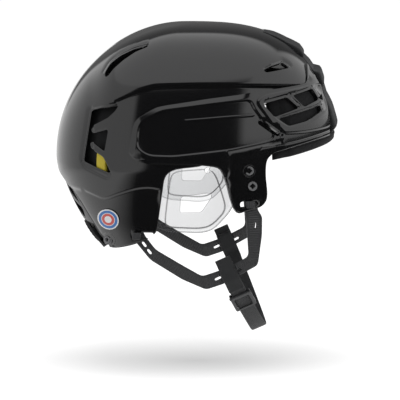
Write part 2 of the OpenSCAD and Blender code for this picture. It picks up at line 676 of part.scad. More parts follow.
// Small slots through a loop, from end to end
loop_slot_shares = [[[-19, -40.6], [-18.1, -42.1]], [[-17.2, -43.9], [-16.3, -45.3]],
    [[6.7, -57], [8.2, -56.1]], [[14.2, -53.3], [15.5, -52.4]], [[20.4, -31.7], [20.4, -33.6]]];
loop_slot_r = 1.1;
module ear_loop() {
    difference() {
        side_prism(loop_shares, loop_y - loop_t / 2, loop_y + loop_t / 2);
        for (s = loop_slot_shares) hull() for (q = side_view(s)) translate([q[0], loop_y, q[1]])
            rotate([90, 0, 0]) cylinder(r = loop_slot_r, h = overrun, center = true, $fn = 12);
    }
    peg(front_slot_x, front_slot_z, front_peg_out);
    peg(rear_peg_x, rear_slot_z, rear_peg_out);
}
module ear_loop_left() {
    color([0.09, 0.09, 0.095]) ear_loop();
}
module ear_loop_right() {
    color([0.09, 0.09, 0.095]) mirror([0, 1, 0]) ear_loop();
}

// Chin webbing: folded over both bars and hanging between them in a leaning plane
web_x = 10.4 * unit_l;
web_z = -51.5 * unit_h;
web_lean = 24;
web_bend_r = 22;
fold_top = 0.6;
fold_h = 17;
fold_open = 3;
tail_h = 9;
module web_frame() {
    translate([web_x, 0, web_z]) rotate([0, -web_lean, 0]) rotate([90, 0, 90]) children();
}
function web_s(y) = web_drop - (sqrt(y * y + web_bend_r * web_bend_r) - web_bend_r)
    * (web_drop - fold_h) / (sqrt(loop_y * loop_y + web_bend_r * web_bend_r) - web_bend_r);
function web_normal(y) = let (d = (web_s(y + gap) - web_s(y - gap)) / (2 * gap)) [d, 1] / sqrt(1 + d * d);
module chin_webbing() {
    n = 24;
    ys = [for (i = [0 : n]) loop_y * (2 * i / n - 1)];
    lower = [for (y = ys) [y, -web_s(y)] - web_t / 2 * web_normal(y)];
    upper = [for (i = [n : -1 : 0]) [ys[i], -web_s(ys[i])] + web_t / 2 * web_normal(ys[i])];
    color([0.08, 0.08, 0.085]) web_frame() translate([0, 0, -web_w / 2]) {
        linear_extrude(web_w) polygon(concat(lower, upper));
        for (s = [0, 1]) mirror([s, 0, 0]) translate([loop_y, 0, 0]) {
            difference() {
                linear_extrude(web_w) polygon(fold_outline(web_t));
                translate([0, 0, -overrun / 2]) linear_extrude(web_w + overrun) polygon(fold_outline(0));
            }
            translate([fold_in, fold_top, 0]) cube([web_t, tail_h, web_w]);
        }
    }
}
fold_in = loop_t / 2 + gap;
// The folded end of the webbing round a loop's bar, open wider at its foot
function fold_outline(t) = [[-fold_in - t, fold_top + t], [fold_in + t, fold_top + t],
    [loop_t / 2 + fold_open + t, web_t - fold_h - t], [-loop_t / 2 - fold_open - t, web_t - fold_h - t]];

// Ladder-lock buckle on the right-hand webbing
buckle_y = -57;
buckle_bar = 2.6;
buckle_t = 5;
buckle_clear = 0.5;
module buckle() {
    d = (web_s(buckle_y + gap) - web_s(buckle_y - gap)) / (2 * gap);
    color([0.1, 0.1, 0.1]) web_frame() translate([buckle_y, -web_s(buckle_y), 0]) rotate(atan(-d))
        difference() {
            cube([buckle_l, buckle_t, web_w + 2 * buckle_bar + 2 * gap], center = true);
            cube([overrun, web_t + 2 * buckle_clear, web_w + 2 * gap], center = true);
            for (s = [-1, 1]) translate([s * buckle_l / 4, buckle_t / 2, 0])
                cube([buckle_l / 4, buckle_t, web_w], center = true);
        }
}

front_shell();
rear_shell();
center_insert();
crown_liner();
rear_liner_left();
rear_liner_right();
brow_liner();
brow_sweatband();
temple_liner_left();
temple_liner_right();
impact_pod_left();
impact_pod_right();
nape_pad();
occipital_lattice();
occipital_housing();
housing_cover();
dial();
rack_left();
rack_right();
ear_guard_left();
ear_guard_right();
ear_guard_rivets();
visor_nuts();
corner_screws();
ear_loop_left();
ear_loop_right();
chin_webbing();
buckle();
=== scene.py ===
import math

import bpy
import numpy as np
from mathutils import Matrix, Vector
from mathutils.geometry import delaunay_2d_cdt


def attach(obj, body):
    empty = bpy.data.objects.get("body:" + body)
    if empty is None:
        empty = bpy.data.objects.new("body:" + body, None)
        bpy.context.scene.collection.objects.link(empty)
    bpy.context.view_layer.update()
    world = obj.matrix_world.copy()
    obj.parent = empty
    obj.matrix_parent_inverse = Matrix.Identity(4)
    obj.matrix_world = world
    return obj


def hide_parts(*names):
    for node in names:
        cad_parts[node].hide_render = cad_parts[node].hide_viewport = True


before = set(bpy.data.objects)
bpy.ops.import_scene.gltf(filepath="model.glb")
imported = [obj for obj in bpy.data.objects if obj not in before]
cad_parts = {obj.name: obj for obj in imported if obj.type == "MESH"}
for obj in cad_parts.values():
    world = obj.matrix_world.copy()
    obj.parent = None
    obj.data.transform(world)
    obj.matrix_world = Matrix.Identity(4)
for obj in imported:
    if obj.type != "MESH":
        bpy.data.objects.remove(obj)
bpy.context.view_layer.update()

bl_info = {
    "name": "Ice Hockey Helmet",
    "version": (1, 0, 0),
    "blender": (4, 5, 0),
    "location": "View3D > Sidebar > Helmet",
    "description": "Dresses the packed ice hockey helmet: shells, padding, ear guards, straps and the stage",
    "category": "Add Mesh",
}

MM = 0.001
SIDES = (("right", -1.0), ("left", 1.0))


class HelmetSizes(bpy.types.PropertyGroup):
    """Sizes of the helmet that a user would change, in metres."""

    length: bpy.props.FloatProperty(
        name="Length", description="Length of the shell without its raised parts", default=0.269, unit="LENGTH")
    width: bpy.props.FloatProperty(
        name="Width", description="Width of the shell without its raised parts", default=0.21, unit="LENGTH")
    height: bpy.props.FloatProperty(
        name="Height", description="Height from the nape edge to the crown", default=0.2175, unit="LENGTH")
    wall: bpy.props.FloatProperty(
        name="Wall", description="Thickness of the moulded shell", default=0.003, unit="LENGTH")
    dome_rise: bpy.props.FloatProperty(
        name="Crown rise", description="How far the crown stands proud of the channel beside it",
        default=0.0035, unit="LENGTH")
    panel_depth: bpy.props.FloatProperty(
        name="Panel depth", description="Depth of the panel in the side band", default=0.0012, unit="LENGTH")
    lip: bpy.props.FloatProperty(
        name="Edge radius", description="Radius of the shell's rounded edges", default=0.0013, unit="LENGTH")
    spacing: bpy.props.FloatProperty(
        name="Mesh spacing", description="Distance between the points of the shells' meshes",
        default=0.0034, unit="LENGTH")
    web_width: bpy.props.FloatProperty(
        name="Webbing width", description="Width of the chin webbing", default=0.0155, unit="LENGTH")
    web_thickness: bpy.props.FloatProperty(
        name="Webbing thickness", description="Thickness of the chin webbing", default=0.0016, unit="LENGTH")


class HelmetColours(bpy.types.PropertyGroup):
    """Colours of the helmet's finishes, as linear values."""

    shell: bpy.props.FloatVectorProperty(
        name="Shell", description="Colour of the gloss shells", subtype="COLOR", default=(0.0045, 0.0045, 0.005))
    trim: bpy.props.FloatVectorProperty(
        name="Trim", description="Colour of the matte plastic trim", subtype="COLOR", default=(0.013, 0.0135, 0.0145))
    foam: bpy.props.FloatVectorProperty(
        name="Foam", description="Colour of the padding", subtype="COLOR", default=(0.008, 0.0082, 0.0087))
    pod: bpy.props.FloatVectorProperty(
        name="Pods", description="Colour of the impact pods", subtype="COLOR", default=(0.5, 0.4, 0.025))
    web: bpy.props.FloatVectorProperty(
        name="Webbing", description="Colour of the chin webbing", subtype="COLOR", default=(0.014, 0.0145, 0.0155))
    clear: bpy.props.FloatVectorProperty(
        name="Ear guard", description="Tint of the clear ear guards", subtype="COLOR", default=(0.93, 0.94, 0.95))
    floor: bpy.props.FloatVectorProperty(
        name="Floor", description="Colour of the floor and backdrop", subtype="COLOR", default=(1.0, 1.0, 1.0))


# Shape of the skin, in millimetres and in hundredths of the length and height

FRONT_REACH = 0.4907
WIDEST = -0.149
PLAN_POWER = 2.25
WIDEST_LEVEL = -0.069
DOME_SHARE = 0.591
LOW_SHARE = 0.41
FRONT_POWER = 2.65
SIDE_POWER = 2.4
REAR_POWER = 2.07
SIDE_TAPER = 1.8
REAR_TAPER = 0.846
SIDE_TAPER_POWER = 1.2
REAR_TAPER_POWER = 1.6
LOWEST_LEVEL = -1.2
ROUNDS = 12
FAR_AWAY = 1e9


def spow(value, power):
    """A signed power: the sign of value times its size to the power."""
    return np.sign(value) * np.abs(value) ** power


def smooth(value):
    """Smooth step: 3c^2 - 2c^3 with c the value held between 0 and 1."""
    held = np.clip(value, 0.0, 1.0)
    return held * held * (3.0 - 2.0 * held)


class Skin:
    """The helmet's base skin. Its plan is an egg: a superellipse of power 2.25 whose front and rear
    half-lengths differ. Over the widest level it closes as a dome of powers 2.07 to 2.65, and below it
    the walls draw in. A point is given by a plan angle t in degrees, 0 at the front and 180 at the rear,
    and a level v from -1 at the nape edge through 0 at the widest level to 1 at the crown."""

    def __init__(self, sizes):
        self.length, self.height = sizes.length / MM, sizes.height / MM
        self.half_w = sizes.width / MM / 2
        for key in ("wall", "dome_rise", "panel_depth", "lip"):
            setattr(self, key, getattr(sizes, key) / MM)
        self.unit_l, self.unit_h, self.unit_w = self.length / 100, self.height / 100, self.half_w / 50
        self.widest_x = WIDEST * self.length
        self.front_axis = FRONT_REACH * self.length - self.widest_x
        self.rear_axis = self.length - FRONT_REACH * self.length + self.widest_x
        self.widest_z = WIDEST_LEVEL * self.height
        self.dome_h, self.low_h = DOME_SHARE * self.height, LOW_SHARE * self.height

    def shrink(self, t, v):
        """Share of the plan that is left at a level."""
        c = np.cos(np.radians(t))
        rear = np.where(c < 0, c * c, 0.0)
        fore = np.where(c > 0, c * c, 0.0)
        power = SIDE_POWER + (FRONT_POWER - SIDE_POWER) * fore + (REAR_POWER - SIDE_POWER) * rear
        s = np.sin(np.radians(90 * np.clip(v, 0, 1)))
        above = np.maximum(0.0, 1.0 - s ** power) ** (1.0 / power)
        drop = np.maximum(0.0, -v) * self.low_h
        below = (1.0 - (1.0 - rear) * (drop / (SIDE_TAPER * self.height)) ** SIDE_TAPER_POWER
                 - rear * (drop / (REAR_TAPER * self.height)) ** REAR_TAPER_POWER)
        return np.where(v < 0, below, above)

    def at(self, t, v, off=0.0):
        """Points of the skin, off millimetres outside the base skin, as an array of rows: half-lengths
        times signed powers of the angle's cosine and sine, drawn in by the level."""
        c, s = np.cos(np.radians(t)), np.sin(np.radians(t))
        axis = np.where(c > 0, self.front_axis, self.rear_axis) + off
        x, y = self.widest_x + axis * spow(c, 2 / PLAN_POWER), (self.half_w + off) * spow(s, 2 / PLAN_POWER)
        z = np.where(v < 0, self.widest_z + v * self.low_h,
                     self.widest_z + (self.dome_h + off) * np.sin(np.radians(90 * v)))
        f = self.shrink(t, v)
        return np.stack([f * x, f * y, z + 0.0 * x], axis=-1)

    def level(self, z, off):
        """Level of the skin's points at a height."""
        rise = np.clip((z - self.widest_z) / (self.dome_h + off), -1.0, 1.0)
        return np.where(z < self.widest_z, (z - self.widest_z) / self.low_h, np.degrees(np.arcsin(rise)) / 90)

    def locate(self, x, z, off=0.0):
        """Angle and level of the skin's point at a place in the side view, found by a few rounds of
        undoing the plan. Places past the silhouette come back on the middle plane."""
        x, z = np.asarray(x, float), np.asarray(z, float)
        v = np.maximum(self.level(z, off), LOWEST_LEVEL)
        t = np.full_like(x, 90.0)
        for _ in range(ROUNDS):
            place = x / np.maximum(self.shrink(t, v), 1e-6)
            axis = np.where(place > self.widest_x, self.front_axis, self.rear_axis) + off
            ratio = np.clip((place - self.widest_x) / axis, -1.0, 1.0)
            t = np.degrees(np.arccos(spow(ratio, PLAN_POWER / 2)))
        return t, v

    def locate_back(self, y, z, off=0.0):
        """Angle and level of the skin's point at a place in the view from behind."""
        y, z = np.asarray(y, float), np.asarray(z, float)
        v = self.level(z, off)
        t = np.full_like(y, 150.0)
        for _ in range(ROUNDS):
            ratio = np.clip(y / np.maximum(self.shrink(t, v), 1e-6) / (self.half_w + off), 0.0, 1.0)
            t = 180.0 - np.degrees(np.arcsin(spow(ratio, PLAN_POWER / 2)))
        return t, v

    def side_y(self, x, z, off=0.0):
        """Half-width of the skin at a place in the side view."""
        return float(self.at(*self.locate([x], [z], off), off)[0, 1])

    def shares(self, pairs):
        """Places written in hundredths of the length and height, in millimetres."""
        return np.array(pairs, float) * np.array([self.unit_l, self.unit_h])

    def back_shares(self, pairs):
        """Places in the view from behind, written in hundredths of the width and height, in millimetres."""
        return np.array(pairs, float) * np.array([self.unit_w, self.unit_h])


# Plane geometry in the side view

def rounded(points, radius, turn_steps=6, closed=True):
    """The outline with each corner turned into a curve: a quadratic curve whose ends lie radius from the
    corner, or half-way along a short edge."""
    points = np.asarray(points, float)
    count = len(points)
    out = []
    for i, here in enumerate(points):
        if not closed and i in (0, count - 1):
            out.append(here[None])
            continue
        before, after = points[i - 1] - here, points[(i + 1) % count] - here
        a, b = (here + edge * min(0.5, radius / max(np.hypot(*edge), 1e-9)) for edge in (before, after))
        s = np.linspace(0, 1, turn_steps)[:, None]
        out.append((1 - s) ** 2 * a + 2 * s * (1 - s) * here + s ** 2 * b)
    return np.concatenate(out)


def run_along(points):
    """Distance along a path at each of its points."""
    return np.concatenate([[0.0], np.cumsum(np.linalg.norm(np.diff(points, axis=0), axis=1))])


def equal_steps(run, values, step, least, closed):
    """Rows of values at equal steps of the run along them."""
    s = np.linspace(0, run[-1], max(least, int(math.ceil(run[-1] / step))) + 1)
    s = s[:-1] if closed else s
    return np.stack([np.interp(s, run, column) for column in values.T], axis=1)


def resample(points, step, closed=True):
    """Points at equal steps along a polyline."""
    points = np.vstack([points, points[:1]]) if closed else points
    run = np.concatenate([[0.0], np.cumsum(np.hypot(*np.diff(points, axis=0).T))])
    return equal_steps(run, points, step, 4, closed)


def line_distance(x, z, points, closed=True):
    """Distance from each place to the nearest edge of a polyline."""
    a = np.asarray(points, float)
    b = np.roll(a, -1, axis=0)
    if not closed:
        a, b = a[:-1], a[1:]
    d = b - a
    best = np.full(np.shape(x), FAR_AWAY)
    for (ax, az), (dx, dz), length2 in zip(a, d, np.maximum((d * d).sum(axis=1), 1e-12)):
        s = np.clip(((x - ax) * dx + (z - az) * dz) / length2, 0.0, 1.0)
        best = np.minimum(best, (x - ax - s * dx) ** 2 + (z - az - s * dz) ** 2)
    return np.sqrt(best)


def inside(x, z, points):
    """True where a place lies within a closed outline, by counting crossings."""
    a = np.asarray(points, float)
    hit = np.zeros(np.shape(x), bool)
    for (ax, az), (bx, bz) in zip(a, np.roll(a, -1, axis=0)):
        if az != bz:
            hit ^= ((az > z) != (bz > z)) & (x < ax + (z - az) * (bx - ax) / (bz - az))
    return hit


def within(places, loops):
    """True where a place lies within the first outline and out of the others."""
    found = inside(*places.T, loops[0])
    for hole in loops[1:]:
        found &= ~inside(*places.T, hole)
    return found


def depth_in(x, z, points):
    """Distance to an outline, positive inside it and negative outside."""
    d = line_distance(x, z, points)
    return np.where(inside(x, z, points), d, -d)


def step_in(p, outline, slope, start=0.0):
    """Smooth step from 0 outside an outline to 1 inside it, over a slope of that width."""
    return smooth(depth_in(p[..., 0], p[..., 2], outline) / slope + start)


def fill_triangles(loops, loose):
    """Delaunay triangles over border loops and loose places, kept inside the first loop and out of the
    others, all turned anticlockwise."""
    edges, start = [], 0
    for loop in loops:
        n = len(loop)
        edges += [(start + i, start + (i + 1) % n) for i in range(n)]
        start += n
    places = [Vector(q) for q in np.concatenate(loops + [loose])]
    verts, _, faces, _, _, _ = delaunay_2d_cdt(places, edges, [], 0, 1e-5)
    flat = np.array([tuple(q) for q in verts])
    tri = np.array([f for f in faces if len(f) == 3])
    keep = within(flat[tri].mean(axis=1), loops)
    a, b, c = (flat[tri[:, k]] for k in range(3))
    area = (b[:, 0] - a[:, 0]) * (c[:, 1] - a[:, 1]) - (b[:, 1] - a[:, 1]) * (c[:, 0] - a[:, 0])
    keep &= np.abs(area) > 1e-7
    tri, area = tri[keep], area[keep]
    tri[area < 0] = tri[area < 0][:, ::-1]
    used, tri = np.unique(tri, return_inverse=True)
    return flat[used], tri.reshape(-1, 3)


def borders(tri):
    """Edges that belong to one triangle only."""
    pairs = np.concatenate([tri[:, [0, 1]], tri[:, [1, 2]], tri[:, [2, 0]]])
    _, first, count = np.unique(np.sort(pairs, axis=1), axis=0, return_index=True, return_counts=True)
    return pairs[first[count == 1]]


# Sheets on the skin: a half outline is filled with triangles, thickened and mirrored

CAP_REACH = 190.0
BACK_FROM = -45.0
FINE_STEP = 0.2
LOOSE_FIT = 0.05
OWN_SHARE = 0.93
MIDDLE_KEEP = 0.25
EDGE_RINGS = (0.28, 0.62, 1.0)
RELIEF_RINGS = np.array([-0.5, -0.32, -0.16, 0.0, 0.16, 0.32, 0.5])
CROWN_LEVEL = 0.985
FLIP = np.array([1.0, -1.0, 1.0])


def chart(skin, t, v):
    """Flat disc that stands for the skin while triangles are made: the radius grows from the crown down."""
    r = np.where(v > 0, CAP_REACH * (1 - v), CAP_REACH - skin.low_h * v)
    return np.stack([r * np.cos(np.radians(t)), r * np.sin(np.radians(t))], axis=-1)


def unchart(skin, uv):
    """Angle and level of places on the flat disc."""
    r = np.hypot(uv[:, 0], uv[:, 1])
    t = np.degrees(np.arctan2(np.abs(uv[:, 1]), uv[:, 0]))
    return t, np.where(r < CAP_REACH, 1 - r / CAP_REACH, -(r - CAP_REACH) / skin.low_h)


class Line:
    """A line on the skin, drawn in the side view (x, z) or, on the back of the helmet, in the view from
    behind (y, z). Places past the silhouette or the middle plane come to lie on the middle plane."""

    def __init__(self, points, radius=3.0, closed=True, plane="side"):
        self.points = rounded(points, radius, closed=closed) if radius > 0 else np.asarray(points, float)
        self.closed, self.plane = closed, plane
        self.axes = (0, 2) if plane == "side" else (1, 2)

    def locate(self, skin, q, off):
        """Angle and level of places in the line's own view."""
        if self.plane == "side":
            return skin.locate(q[:, 0], q[:, 1], off)
        return skin.locate_back(np.maximum(q[:, 0], 0.0), q[:, 1], off)

    def fine(self, skin, off):
        """Disc places and real places at fine steps."""
        t, v = self.locate(skin, resample(self.points, FINE_STEP, self.closed), off)
        return np.hstack([chart(skin, t, v), skin.at(t, v, off)])

    def distance(self, p):
        """Distance of points from the line in its own view; the back view counts only behind the ears."""
        d = line_distance(p[..., self.axes[0]], p[..., self.axes[1]], self.points, self.closed)
        return d if self.plane == "side" else np.where(p[..., 0] < BACK_FROM, d, FAR_AWAY)

    def rings(self, skin, distances, off, step):
        """Points at set distances on both sides of the line."""
        p = skin.at(*unchart(skin, even_steps(self.fine(skin, off), step, self.closed)), off)
        flat = p[:, list(self.axes)]
        along = np.roll(flat, -1, axis=0) - np.roll(flat, 1, axis=0) if self.closed else np.gradient(flat, axis=0)
        size = np.linalg.norm(along, axis=1)
        good = (size > 1e-3) & (p[:, 1] > 0.6)
        flat, normal = flat[good], np.stack([-along[good, 1], along[good, 0]], axis=1) / size[good, None]
        found = []
        for d in distances:
            q = flat + d * normal
            t, v = self.locate(skin, q, off)
            back = skin.at(t, v, off)
            fits = np.hypot(back[:, self.axes[0]] - q[:, 0], back[:, 2] - q[:, 1]) < LOOSE_FIT
            fits &= self.distance(back) > OWN_SHARE * abs(d)
            found.append(chart(skin, t[fits], v[fits]))
        return np.concatenate(found)


def even_steps(fine, step, closed=True):
    """Disc places at equal steps of real length along a finely divided line."""
    fine = np.vstack([fine, fine[:1]]) if closed else fine
    run = run_along(fine[:, 2:])
    keep = np.concatenate([[True], np.diff(run) > 1e-7])
    return equal_steps(run[keep], fine[keep][:, :2], step, 6, closed)


def lattice_on_skin(skin, spacing, v_low):
    """Staggered rows of points at about that spacing over one half of the skin, as disc places."""
    rows = []
    levels = [np.arange(0.995, 0.0, -spacing / CAP_REACH), np.arange(0.0, v_low, -spacing / skin.low_h)]
    for k, v in enumerate(np.concatenate(levels)):
        around = math.pi * (skin.half_w + 15) * float(skin.shrink(np.array(90.0), np.array(v)))
        count = max(2, int(round(around / spacing)))
        t = (np.arange(count) + (0.5 if k % 2 else 0.25)) * 180.0 / count
        rows.append(chart(skin, t, np.full_like(t, v)))
    return np.concatenate(rows)


class Sheet:
    """A moulded sheet on the skin: an outline of joined lines, holes, a function for its outer offset and
    one for its inner offset, both in millimetres over the base skin. Lines of relief get their own rings
    of points, over the width of their slope."""

    def __init__(self, skin, outline, holes, outer, inner, relief=(), spacing=3.4, v_low=-1.1, off=0.0,
                 lip=None, edge_step=1.4):
        self.skin, self.outer_offset, self.inner_offset = skin, outer, inner
        self.lip = skin.lip if lip is None else lip
        self.edges = list(outline) + list(holes)
        loops = [even_steps(np.concatenate([line.fine(skin, off) for line in outline]), edge_step)]
        loops += [even_steps(hole.fine(skin, off), edge_step) for hole in holes]
        near = [k * self.lip for k in EDGE_RINGS] + [self.lip + 1.1]
        near = [-d for d in near] + near
        parts = [self.clear_of_edges(line.rings(skin, near, off, edge_step), 0.2 * self.lip) for line in self.edges]
        grid = self.clear_of_edges(lattice_on_skin(skin, spacing, v_low), self.lip + 2.2)
        p = skin.at(*unchart(skin, grid))
        keep = np.ones(len(grid), bool)
        for line, width in relief:
            keep &= line.distance(p) > width / 2 + 1.4
        parts.append(grid[keep])
        for line, width in relief:
            fine = float(np.clip(0.32 * width, 0.7, edge_step))
            parts.append(self.clear_of_edges(line.rings(skin, RELIEF_RINGS * width, 0.0, fine), self.lip + 1.3))
        loose = np.concatenate(parts)
        self.uv, self.tri = fill_triangles(loops, loose[within(loose, loops) & (loose[:, 1] > MIDDLE_KEEP)])

    def edge_distance(self, p):
        """Distance to the nearest edge of the sheet."""
        return np.min([line.distance(p) for line in self.edges], axis=0)

    def clear_of_edges(self, places, clearance):
        """The places that keep clear of every edge."""
        return places[self.edge_distance(self.skin.at(*unchart(self.skin, places))) > clearance]

    def points(self, t, v, side):
        """The outer or inner face; the outer one rounds down to the edge over the lip's radius."""
        p = self.skin.at(t, v)
        if side == "inner":
            return self.skin.at(t, v, self.inner_offset(p))
        u = np.clip(1.0 - self.edge_distance(p) / self.lip, 0.0, 1.0)
        rounding = self.lip * (1.0 - np.sqrt(np.maximum(0.0, 1.0 - u * u)))
        return self.skin.at(t, v, self.outer_offset(p) - rounding)

    def face_normals(self, t, v, side):
        """Outward direction at each point, from the points a little way round and up and down."""
        dt, dv = 0.12, 0.0016
        low = np.minimum(v, 0.994)
        across = self.points(t + dt, low, side) - self.points(t - dt, low, side)
        up = self.points(t, low + dv, side) - self.points(t, low - dv, side)
        n = unit_rows(np.cross(across, up))
        n[v > CROWN_LEVEL] = (0, 0, 1)
        return n if side == "outer" else -n

    def mesh(self, name, half=None):
        """Builds the mesh: outer face, inner face and the rim between them, on one side or both."""
        t, v = unchart(self.skin, self.uv)
        seam = np.abs(self.uv[:, 1]) < 0.02
        t = np.where(seam, np.where(self.uv[:, 0] > 0, 0.0, 180.0), t)
        n, tri = len(t), self.tri
        points = np.concatenate([self.points(t, v, side) for side in ("outer", "inner")])
        n_out, n_in = (self.face_normals(t, v, side) for side in ("outer", "inner"))
        n_in[v > CROWN_LEVEL] = (0, 0, -1)
        a, b = borders(tri).T
        rim = np.stack([b, a, a + n, b + n], axis=1)[~(seam[a] & seam[b])]
        rim_n = unit_rows(np.cross(points[rim[:, 1]] - points[rim[:, 0]], points[rim[:, 3]] - points[rim[:, 0]]))
        faces = np.concatenate([tri, tri[:, ::-1] + n, rim[:, [0, 1, 2]], rim[:, [0, 2, 3]]])
        normals = np.concatenate([n_out[tri], n_in[tri[:, ::-1]],
                                  np.repeat(np.concatenate([rim_n, rim_n])[:, None], 3, axis=1)])
        if half == "left":
            return finish_mesh(name, points, faces, normals)
        mirrored = normals[:, ::-1] * FLIP
        if half == "right":
            return finish_mesh(name, points * FLIP, faces[:, ::-1], mirrored)
        shared = np.concatenate([seam, seam])
        points[shared, 1] = 0.0
        twin = np.where(shared, np.arange(2 * n), 2 * n + np.cumsum(~shared) - 1)
        return finish_mesh(name, np.concatenate([points, points[~shared] * FLIP]),
                           np.concatenate([faces, twin[faces][:, ::-1]]), np.concatenate([normals, mirrored]))


def unit_rows(rows):
    """The rows, each brought to length 1."""
    return rows / np.maximum(np.linalg.norm(rows, axis=1), 1e-9)[:, None]


def finish_mesh(name, points_mm, faces, corner_normals=None, smooth_faces=True):
    """A new object from points in millimetres and its faces, with its own corner normals if given."""
    me = bpy.data.meshes.new(name)
    me.from_pydata((np.asarray(points_mm) * MM).tolist(), [], np.asarray(faces).tolist())
    if smooth_faces:
        me.polygons.foreach_set("use_smooth", np.ones(len(me.polygons), bool))
    if corner_normals is not None:
        me.normals_split_custom_set(np.asarray(corner_normals).reshape(-1, 3).tolist())
    me.update()
    ob = bpy.data.objects.new(name, me)
    bpy.context.scene.collection.objects.link(ob)
    return ob


# Finishes: each material places shared node groups in its own shader

class Wires:
    """Places nodes in a tree. An input takes a number, a colour or the socket that feeds it."""

    def __init__(self, tree):
        self.tree = tree

    def feed(self, socket, value):
        """Links a socket to an input, or sets the input's own value."""
        if isinstance(value, bpy.types.NodeSocket):
            self.tree.links.new(value, socket)
        elif value is not None:
            socket.default_value = value

    def add(self, kind, *values, **named):
        """A node with its inputs in order or by name. Names in lower case are the node's own settings."""
        node = self.tree.nodes.new("ShaderNode" + kind)
        for key, value in named.items():
            if key.islower():
                setattr(node, key, value)
        for socket, value in zip(node.inputs, values):
            self.feed(socket, value)
        for key, value in named.items():
            if not key.islower():
                self.feed(node.inputs[key.replace("_", " ")], value)
        return node

    def maths(self, operation, a, b=None, clamp=False):
        """A Math node on sockets or numbers."""
        return self.add("Math", a, b, operation=operation, use_clamp=clamp).outputs[0]

    def most(self, first, *others):
        """The greatest of several values."""
        for other in others:
            first = self.maths("MAXIMUM", first, other)
        return first

    def ramp(self, value, start, end):
        """0 up to start, 1 from end on, and straight between them."""
        return self.maths("DIVIDE", self.maths("SUBTRACT", value, start), end - start, clamp=True)

    def split(self, vector):
        """The three parts of a vector."""
        return self.add("SeparateXYZ", vector).outputs[:]

    def mix_colours(self, factor, dark, light):
        """A colour between two, by a socket."""
        return self.add("Mix", data_type="RGBA", Factor=factor, A=(*dark, 1.0), B=(*light, 1.0)).outputs["Result"]

    def surface(self, shader, output="Material Output"):
        self.tree.links.new(shader.outputs[0], self.tree.nodes[output].inputs["Surface"])


class Shader(Wires):
    """A new material: its Principled shader and its coordinates."""

    def __init__(self, name):
        self.material = bpy.data.materials.new(name)
        self.material.use_nodes = True
        super().__init__(self.material.node_tree)
        self.principled = self.tree.nodes["Principled BSDF"]
        self.place = self.add("TexCoord").outputs

    def group(self, name, vector="Object", **values):
        """The outputs of a shared group, built the first time it is asked for."""
        if name not in GROUPS:
            GROUPS[name] = GROUP_MAKERS[name]()
        return self.add("Group", node_tree=GROUPS[name], Vector=self.place[vector], **values).outputs

    def look(self, **inputs):
        """Sets or feeds inputs of the Principled shader."""
        for key, value in inputs.items():
            self.feed(self.principled.inputs[key.replace("_", " ")], value)
        return self.material

    def bump(self, height, strength, distance, normal=None):
        """Normal of a height, over another normal if one is given."""
        return self.add("Bump", Strength=strength, Distance=distance, Height=height, Normal=normal).outputs["Normal"]


def new_group(name, inputs, outputs):
    """A shader node group that takes a vector and named numbers, with the sockets of both its ends."""
    tree = bpy.data.node_groups.new(name, "ShaderNodeTree")
    tree.interface.new_socket("Vector", in_out="INPUT", socket_type="NodeSocketVector")
    for label, value in inputs.items():
        tree.interface.new_socket(label, in_out="INPUT", socket_type="NodeSocketFloat").default_value = value
    for label in outputs:
        tree.interface.new_socket(label, in_out="OUTPUT", socket_type="NodeSocketFloat")
    return Wires(tree), tree.nodes.new("NodeGroupInput").outputs, tree.nodes.new("NodeGroupOutput").inputs


def grain_group():
    """Moulded plastic: fine grain and broad unevenness as a height, and a roughness that varies with them."""
    wires, source, target = new_group(
        "moulded_grain", {"Grain Scale": 900.0, "Grain Height": 0.3, "Wave Scale": 18.0, "Wave Height": 0.2,
                          "Roughness": 0.4, "Roughness Spread": 0.1}, ("Height", "Roughness", "Dust"))
    maths, place = wires.maths, source["Vector"]
    fine = wires.add("TexNoise", Vector=place, Scale=source["Grain Scale"], Detail=3.0, Roughness=0.6)
    broad = wires.add("TexNoise", Vector=place, Scale=source["Wave Scale"], Detail=2.0, Roughness=0.5)
    smudge = wires.add("TexNoise", Vector=place, Scale=11.0, Detail=5.0, Roughness=0.65).outputs["Fac"]
    grain = maths("MULTIPLY", fine.outputs["Fac"], source["Grain Height"])
    wave = maths("MULTIPLY", broad.outputs["Fac"], source["Wave Height"])
    spread = maths("MULTIPLY", maths("SUBTRACT", smudge, 0.5), source["Roughness Spread"])
    wires.feed(target["Height"], maths("ADD", grain, wave))
    wires.feed(target["Roughness"], maths("ADD", source["Roughness"], spread, clamp=True))
    wires.feed(target["Dust"], maths("MULTIPLY", maths("SUBTRACT", smudge, 0.52), 2.0, clamp=True))
    return wires.tree


def foam_group():
    """Closed-cell foam: small cells as pits, with a height and a shade. The shade is half random blotches and half
    painted shade, darker in the pits by the same cell distance that gives their depth.
    """
    wires, source, target = new_group("foam_cells", {"Cell Scale": 700.0, "Pit Height": 0.5}, ("Height", "Shade"))
    maths, place = wires.maths, source["Vector"]
    cells = wires.add("TexVoronoi", feature="F1", Vector=place, Scale=source["Cell Scale"]).outputs["Distance"]
    blotch = wires.add("TexNoise", Vector=place, Scale=60.0, Detail=4.0, Roughness=0.6).outputs["Fac"]
    wires.feed(target["Height"], maths("MULTIPLY", cells, source["Pit Height"]))
    # Half random blotches, half painted shade: darker in the pits, lighter on the cell walls.
    shade = maths("ADD", maths("MULTIPLY", blotch, 0.5), maths("MULTIPLY", cells, 0.5), clamp=True)
    wires.feed(target["Shade"], shade)
    return wires.tree


